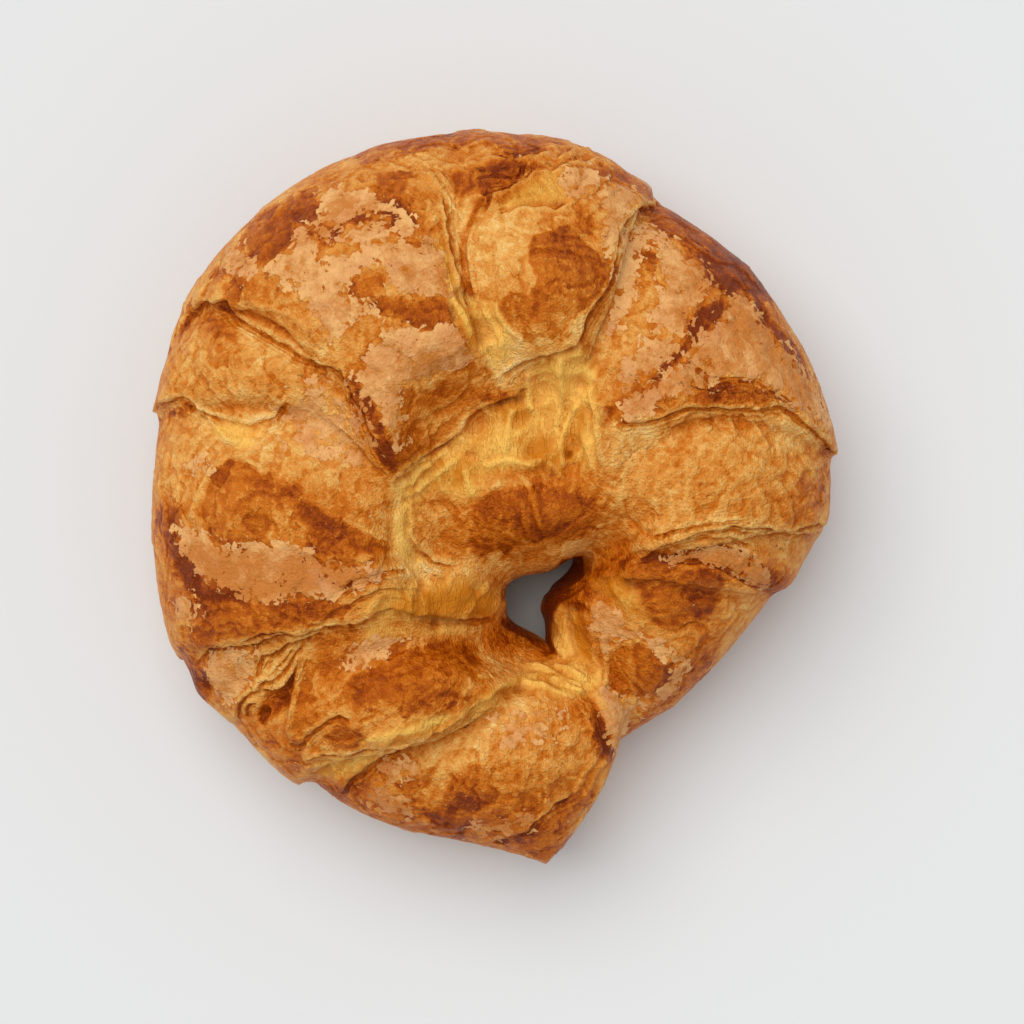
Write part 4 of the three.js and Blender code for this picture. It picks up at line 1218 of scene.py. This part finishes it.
# The material's own noise: size of its lumps in mm, detail, roughness.
NOISES = {
    "fine": (1.3, 3, 0.65),
    "grain": (0.5, 1, 0.5),
    "spots": (0.9, 2, 0.5),
    "flecks": (1.0, 3, 0.6),
    "threads": (2.4, 2, 0.5),
    "blush": (6.0, 2, 0.5),
}
NOISE_SPREAD = 1.7  # brings noise from 0 to 1 to about -1 to 1
VEINS = (1.6, 3, 0.6)
VEIN_STRETCH = (1.0, 0.35, 0.5)
FIBRES = (1.1, 2, 0.6)
FIBRE_TURNS = 45.0
FIBRE_REACH = (6.0, 34.0)  # mm from the hole's middle

# Torn flakes, as cells: size in mm, and how far noise moves their edges along each axis, in mm.
FLAKES = (2.6, (0.5, 1.0, 0.3))
CHIPS = (1.1, (0.12, 0.3, 0.1))


class Painter:
    """Adds nodes to a material. Fields are kept by name, and a number given with a field's name is its
    weight in a sum."""

    def __init__(self, material):
        self.tree = material.node_tree
        self.fields = {}

    def add(self, kind, values, output=0, **settings):
        node = self.tree.nodes.new("ShaderNode" + kind)
        for name, value in settings.items():
            setattr(node, name, value)
        for name, value in values.items():
            self.give(node.inputs[name], value)
        return node.outputs[output]

    def give(self, socket, value):
        if isinstance(value, bpy.types.NodeSocket):
            self.tree.links.new(value, socket)
        else:
            socket.default_value = value

    def stored(self, *names):
        """Fields that the mesh has."""
        for name in names:
            self.fields[name] = self.add("Attribute", {}, "Fac", attribute_name=name)

    def math(self, operation, first, second=0.0):
        return self.add("Math", {0: first, 1: second}, operation=operation)

    def times(self, first, second):
        return self.math("MULTIPLY", first, second)

    def vector(self, operation, *inputs, output=0, **values):
        return self.add("VectorMath", {**dict(enumerate(inputs)), **values}, output, operation=operation)

    def weighed(self, shift=0.0, **weights):
        """The sum of fields, each times its weight."""
        total = shift
        for name, weight in weights.items():
            total = self.add("Math", {0: self.fields[name], 1: weight, 2: total}, operation="MULTIPLY_ADD")
        return total

    def rise(self, value, low, high):
        """From 0 below low to 1 above high."""
        return self.add("MapRange", {"Value": value, "From Min": low, "From Max": high},
                        interpolation_type="SMOOTHSTEP")

    def step(self, low, high, shift=0.0, **weights):
        """How far a sum of fields has risen from low to high."""
        return self.rise(self.weighed(shift, **weights), low, high)

    def crease(self, low, high, **weights):
        """The same, for the size of a sum of fields without its sign."""
        return self.rise(self.math("ABSOLUTE", self.weighed(**weights)), low, high)

    def band(self, value, starts, ends):
        """From 0 to 1 over one range, and back to 0 over another."""
        return self.math("SUBTRACT", self.rise(value, *starts), self.rise(value, *ends))

    def spread(self, value, far):
        """A value from 0 to 1 as one from -far to far."""
        return self.add("Math", {0: value, 1: 2 * far, 2: -far}, operation="MULTIPLY_ADD")

    def noise(self, places, size, detail, roughness):
        """Noise from about -1 to 1 with lumps of this size in mm."""
        value = self.add("TexNoise", {"Vector": places, "Scale": 1 / size, "Detail": detail,
                                      "Roughness": roughness})
        return self.spread(value, NOISE_SPREAD)

    def cells(self, places, size):
        """An own value from -1 to 1 for each cell of this size in mm."""
        colour = self.add("TexVoronoi", {"Vector": places, "Scale": 1 / size}, "Color")
        value = self.add("SeparateXYZ", {0: colour}, "X")
        return self.spread(value, 1.0)

    def ramp(self, value, stops):
        """The colour that stops of {value: colour} have at a value."""
        node = self.tree.nodes.new("ShaderNodeValToRGB")
        self.tree.links.new(value, node.inputs[0])
        elements = node.color_ramp.elements
        while len(elements) < len(stops):
            elements.new(1)
        for element, (position, colour) in zip(elements, stops.items()):
            element.position = position
            element.color = colour
        return node.outputs[0]

    def mix(self, factor, first, second):
        node = self.tree.nodes.new("ShaderNodeMix")
        node.data_type = "RGBA"
        colours = [socket for socket in node.inputs if socket.type == "RGBA"]
        for socket, value in zip((node.inputs[0], *colours), (factor, first, second)):
            self.give(socket, value)
        return next(socket for socket in node.outputs if socket.type == "RGBA")


def add_noise(p):
    """Adds the material's own noise: grain, flecks, flakes, veins and fibres."""
    f = p.fields
    place = p.vector("SCALE", p.add("TexCoord", {}, "Object"), Scale=1 / MM)
    for name, noise_form in NOISES.items():
        f[name] = p.noise(place, *noise_form)
    f["speck"] = p.step(low=0.5, high=0.75, spots=1)
    jolt = p.add("CombineXYZ", {"X": f["fine"], "Y": f["middle"], "Z": f["grain"]})
    for name, (size, jolts) in {"flake": FLAKES, "chip": CHIPS}.items():
        f[name] = p.cells(p.vector("MULTIPLY_ADD", jolt, jolts, place), size)
    f["fleck"] = p.step(low=0.0, high=0.35, flecks=1, chip=0.25)
    f["thread"] = p.crease(low=0.12, high=0.02, threads=1, grain=0.08)
    f["veins"] = p.noise(p.vector("MULTIPLY", place, VEIN_STRETCH), *VEINS)
    f["vein"] = p.crease(low=0.3, high=0.0, veins=1, grain=0.1)
    f["fibre"] = fibres(p, place)


def fibres(p, place):
    """Fibres that run out from the hole and are strongest far from it."""
    f = p.fields
    flat = p.vector("MULTIPLY", p.vector("SUBTRACT", place, (*HOLE_XY, 0)), (1, 1, 0))
    f["reach"] = p.vector("LENGTH", flat, output="Value")
    f["height"] = p.add("SeparateXYZ", {0: place}, "Z")
    turned = p.vector("SCALE", p.vector("NORMALIZE", flat), Scale=FIBRE_TURNS)
    lengthwise = p.add("CombineXYZ", {"X": p.weighed(wide=1.6), "Y": p.weighed(middle=0.6),
                                      "Z": p.weighed(reach=0.14, height=0.14)})
    drawn_out = p.noise(p.vector("ADD", turned, lengthwise), *FIBRES)
    return p.times(drawn_out, p.rise(f["reach"], *FIBRE_REACH))


def add_patches(p):
    """Adds the patches of browned crust, pale skin and stretched dough, with uneven edges."""
    f = p.fields
    f["browned"] = p.step(
        low=-0.5, high=0.25, brown=1, flake=0.25, middle=0.3, fine=0.25, fibre=0.25, chip=0.15)
    skinned = p.weighed(shift=-0.12, skin=1, flake=0.7, chip=0.8, middle=0.4, fine=0.3, speck=-1.3)
    f["skinned"] = p.rise(skinned, low=-0.08, high=0.08)
    # A darker line round the skin: the browner layer where it broke, and painted shadow of its edge.
    f["rim"] = p.math("SUBTRACT", p.rise(skinned, low=-1.5, high=-0.2), f["skinned"])
    f["doughy"] = p.step(low=-0.6, high=0.8, dough=1, middle=0.4, fibre=0.4)
    # Where the surface lies in a hollow; the colour darkens there as painted shade.
    f["hollow"] = p.step(low=0.15, high=1.5, swell=-1, middle=0.1)
    # Ridges that stand out, where the colour pales: paler thin flakes and a painted highlight.
    f["edge"] = p.step(low=-0.15, high=0.15, bulge=1)
    f["deep"] = p.times(f["browned"], p.weighed(shift=0.1, tone=0.32))
    f["speckled"] = p.times(f["speck"], p.weighed(shift=0.1, browned=-0.26))


def add_lines(p):
    """Adds the leaf edges, with a paler band of painted light above and a band of painted shade below, thin
    layers, and the strands of dough.
    """
    f = p.fields
    lip = p.weighed(lip=1, fine=0.15)
    f["beside"] = lip
    at_lip = p.step(low=0.05, high=0.5, lipped=1)
    # Painted light just above leaf edges, which are also paler there, and painted shade just below them.
    f["bright_edge"] = p.times(at_lip, p.band(lip, starts=(-0.05, 0.1), ends=(0.3, 1.2)))
    f["dark_edge"] = p.times(at_lip, p.band(lip, starts=(0.05, -0.1), ends=(-0.3, -1.4)))
    waves = p.math("SINE", p.weighed(beside=8, middle=2.5, wide=3))
    layered = p.times(at_lip, p.band(lip, starts=(0.0, -0.4), ends=(-1.0, -3.5)))
    f["layers"] = p.times(waves, p.times(layered, p.weighed(shift=1.0, doughy=-1)))
    at_strand = p.step(low=0.1, high=0.6, stranded=1)
    f["on_strand"] = p.times(at_strand, p.step(low=1.0, high=0.1, strand=1, fine=0.15))


def crust_colour(p):
    """The baked colour with painted shade and painted light in it, and yellow dough and pale skin over it."""
    f = p.fields
    # In the baking, hollow and the band below leaf edges are painted shade, edge and the band above them
    # painted light, and shade holds painted shade and light beside real browning.
    bake = p.weighed(
        shift=0.6, shade=1, deep=1, speckled=1, wide=0.12, middle=0.06, grain=0.03, fleck=-0.11,
        thread=-0.06, fibre=-0.05, flake=0.04, rim=0.1, hollow=0.12, edge=-0.2, dark_edge=0.14,
        bright_edge=-0.08, layers=-0.07)
    yellowness = p.step(
        low=-0.7, high=1.2, wide=0.4, fibre=0.3, fine=0.4, middle=0.5, on_strand=0.9, web=0.4, vein=0.4,
        shade=-3)
    paleness = p.step(low=-1.0, high=0.9, wide=0.5, middle=0.6, flake=0.3, chip=0.2, fine=0.6, shade=-4)
    rosiness = p.step(low=0.0, high=1.4, blush=1, flake=0.4)
    yellow = p.mix(yellowness, AMBER, YELLOW)
    peach = p.mix(rosiness, p.mix(paleness, TAN, PEACH), ROSE)
    # Less yellow dough in hollows, as painted shade.
    open_dough = p.times(f["doughy"], p.weighed(shift=1.0, hollow=-0.5))
    colour = p.mix(open_dough, p.ramp(bake, BAKED), yellow)
    return p.mix(f["skinned"], colour, peach)


def finest_relief(p):
    """The finest relief, as a normal: grain, flakes, thin layers and veins."""
    f = p.fields
    f["calm"] = p.math("MAXIMUM", p.weighed(skinned=0.7), f["doughy"])
    rough = p.weighed(fine=0.14, grain=0.12, fibre=0.1, fleck=0.04)
    f["rough"] = p.times(rough, p.weighed(shift=1.0, calm=-0.6))
    f["dough_vein"] = p.times(f["doughy"], f["vein"])
    relief = p.weighed(
        rough=1, skinned=0.12, flake=0.08, chip=0.025, middle=0.1, speck=-0.05, on_strand=0.15,
        dark_edge=-0.12, layers=0.09, dough_vein=0.12)
    return p.add("Bump", {"Height": relief, "Distance": MM, "Strength": 1.0})


def crust_material():
    material = bpy.data.materials.new("crust")
    material.use_nodes = True
    p = Painter(material)
    p.stored("wide", "middle", "brown", "skin", "dough", "tone", "shade", "bulge", "swell", "web")
    p.stored("lip", "lipped", "strand", "stranded")
    add_noise(p)
    add_patches(p)
    add_lines(p)
    shader = material.node_tree.nodes["Principled BSDF"]
    p.give(shader.inputs["Base Color"], crust_colour(p))
    p.give(shader.inputs["Roughness"], p.weighed(shift=0.44, skinned=0.04, browned=-0.06, fine=0.06))
    p.give(shader.inputs["Normal"], finest_relief(p))
    p.give(shader.inputs["Specular IOR Level"], SPECULAR)
    return material


def plain_material(name, colour, roughness):
    material = bpy.data.materials.new(name)
    material.use_nodes = True
    shader = material.node_tree.nodes["Principled BSDF"]
    shader.inputs["Base Color"].default_value = (*colour, 1)
    shader.inputs["Roughness"].default_value = roughness
    return material


def add_camera():
    data = bpy.data.cameras.new("camera")
    data.lens = LENS_MM
    data.sensor_width = SENSOR_MM
    data.clip_start, data.clip_end = CLIP
    camera = bpy.data.objects.new("camera", data)
    camera.location = Vector((*CAMERA_XY, CAMERA_HEIGHT)) * MM
    bpy.context.scene.collection.objects.link(camera)
    bpy.context.scene.camera = camera


def add_floor():
    corners = [(x * FLOOR_HALF, y * FLOOR_HALF, 0) for x, y in ((-1, -1), (1, -1), (1, 1), (-1, 1))]
    mesh = bpy.data.meshes.new("floor")
    mesh.from_pydata(corners, [], [(0, 1, 2, 3)])
    floor = bpy.data.objects.new("floor", mesh)
    floor.data.materials.append(plain_material("floor", FLOOR_COLOUR, FLOOR_ROUGHNESS))
    bpy.context.scene.collection.objects.link(floor)


def add_light():
    """An even, bright room, and one wide soft light from the upper left."""
    world = bpy.data.worlds.new("studio")
    world.use_nodes = True
    background = world.node_tree.nodes["Background"]
    background.inputs["Color"].default_value = (1, 1, 1, 1)
    background.inputs["Strength"].default_value = ROOM_LIGHT
    bpy.context.scene.world = world
    data = bpy.data.lights.new("key", "SUN")
    data.energy = KEY_LIGHT
    data.angle = math.radians(KEY_ANGLE)
    data.color = KEY_COLOUR
    light = bpy.data.objects.new("key", data)
    light.rotation_euler = Vector(KEY_DIRECTION).to_track_quat("-Z", "Y").to_euler()
    bpy.context.scene.collection.objects.link(light)


crust = made_from_solid()
shape(crust)
thin_out(crust)
drop_bubbles(crust)
paint(crust)
crust.data.materials.append(crust_material())
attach(crust, "root")
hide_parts("croissant")

add_floor()
add_light()
add_camera()
bpy.context.scene.view_settings.view_transform = "Standard"
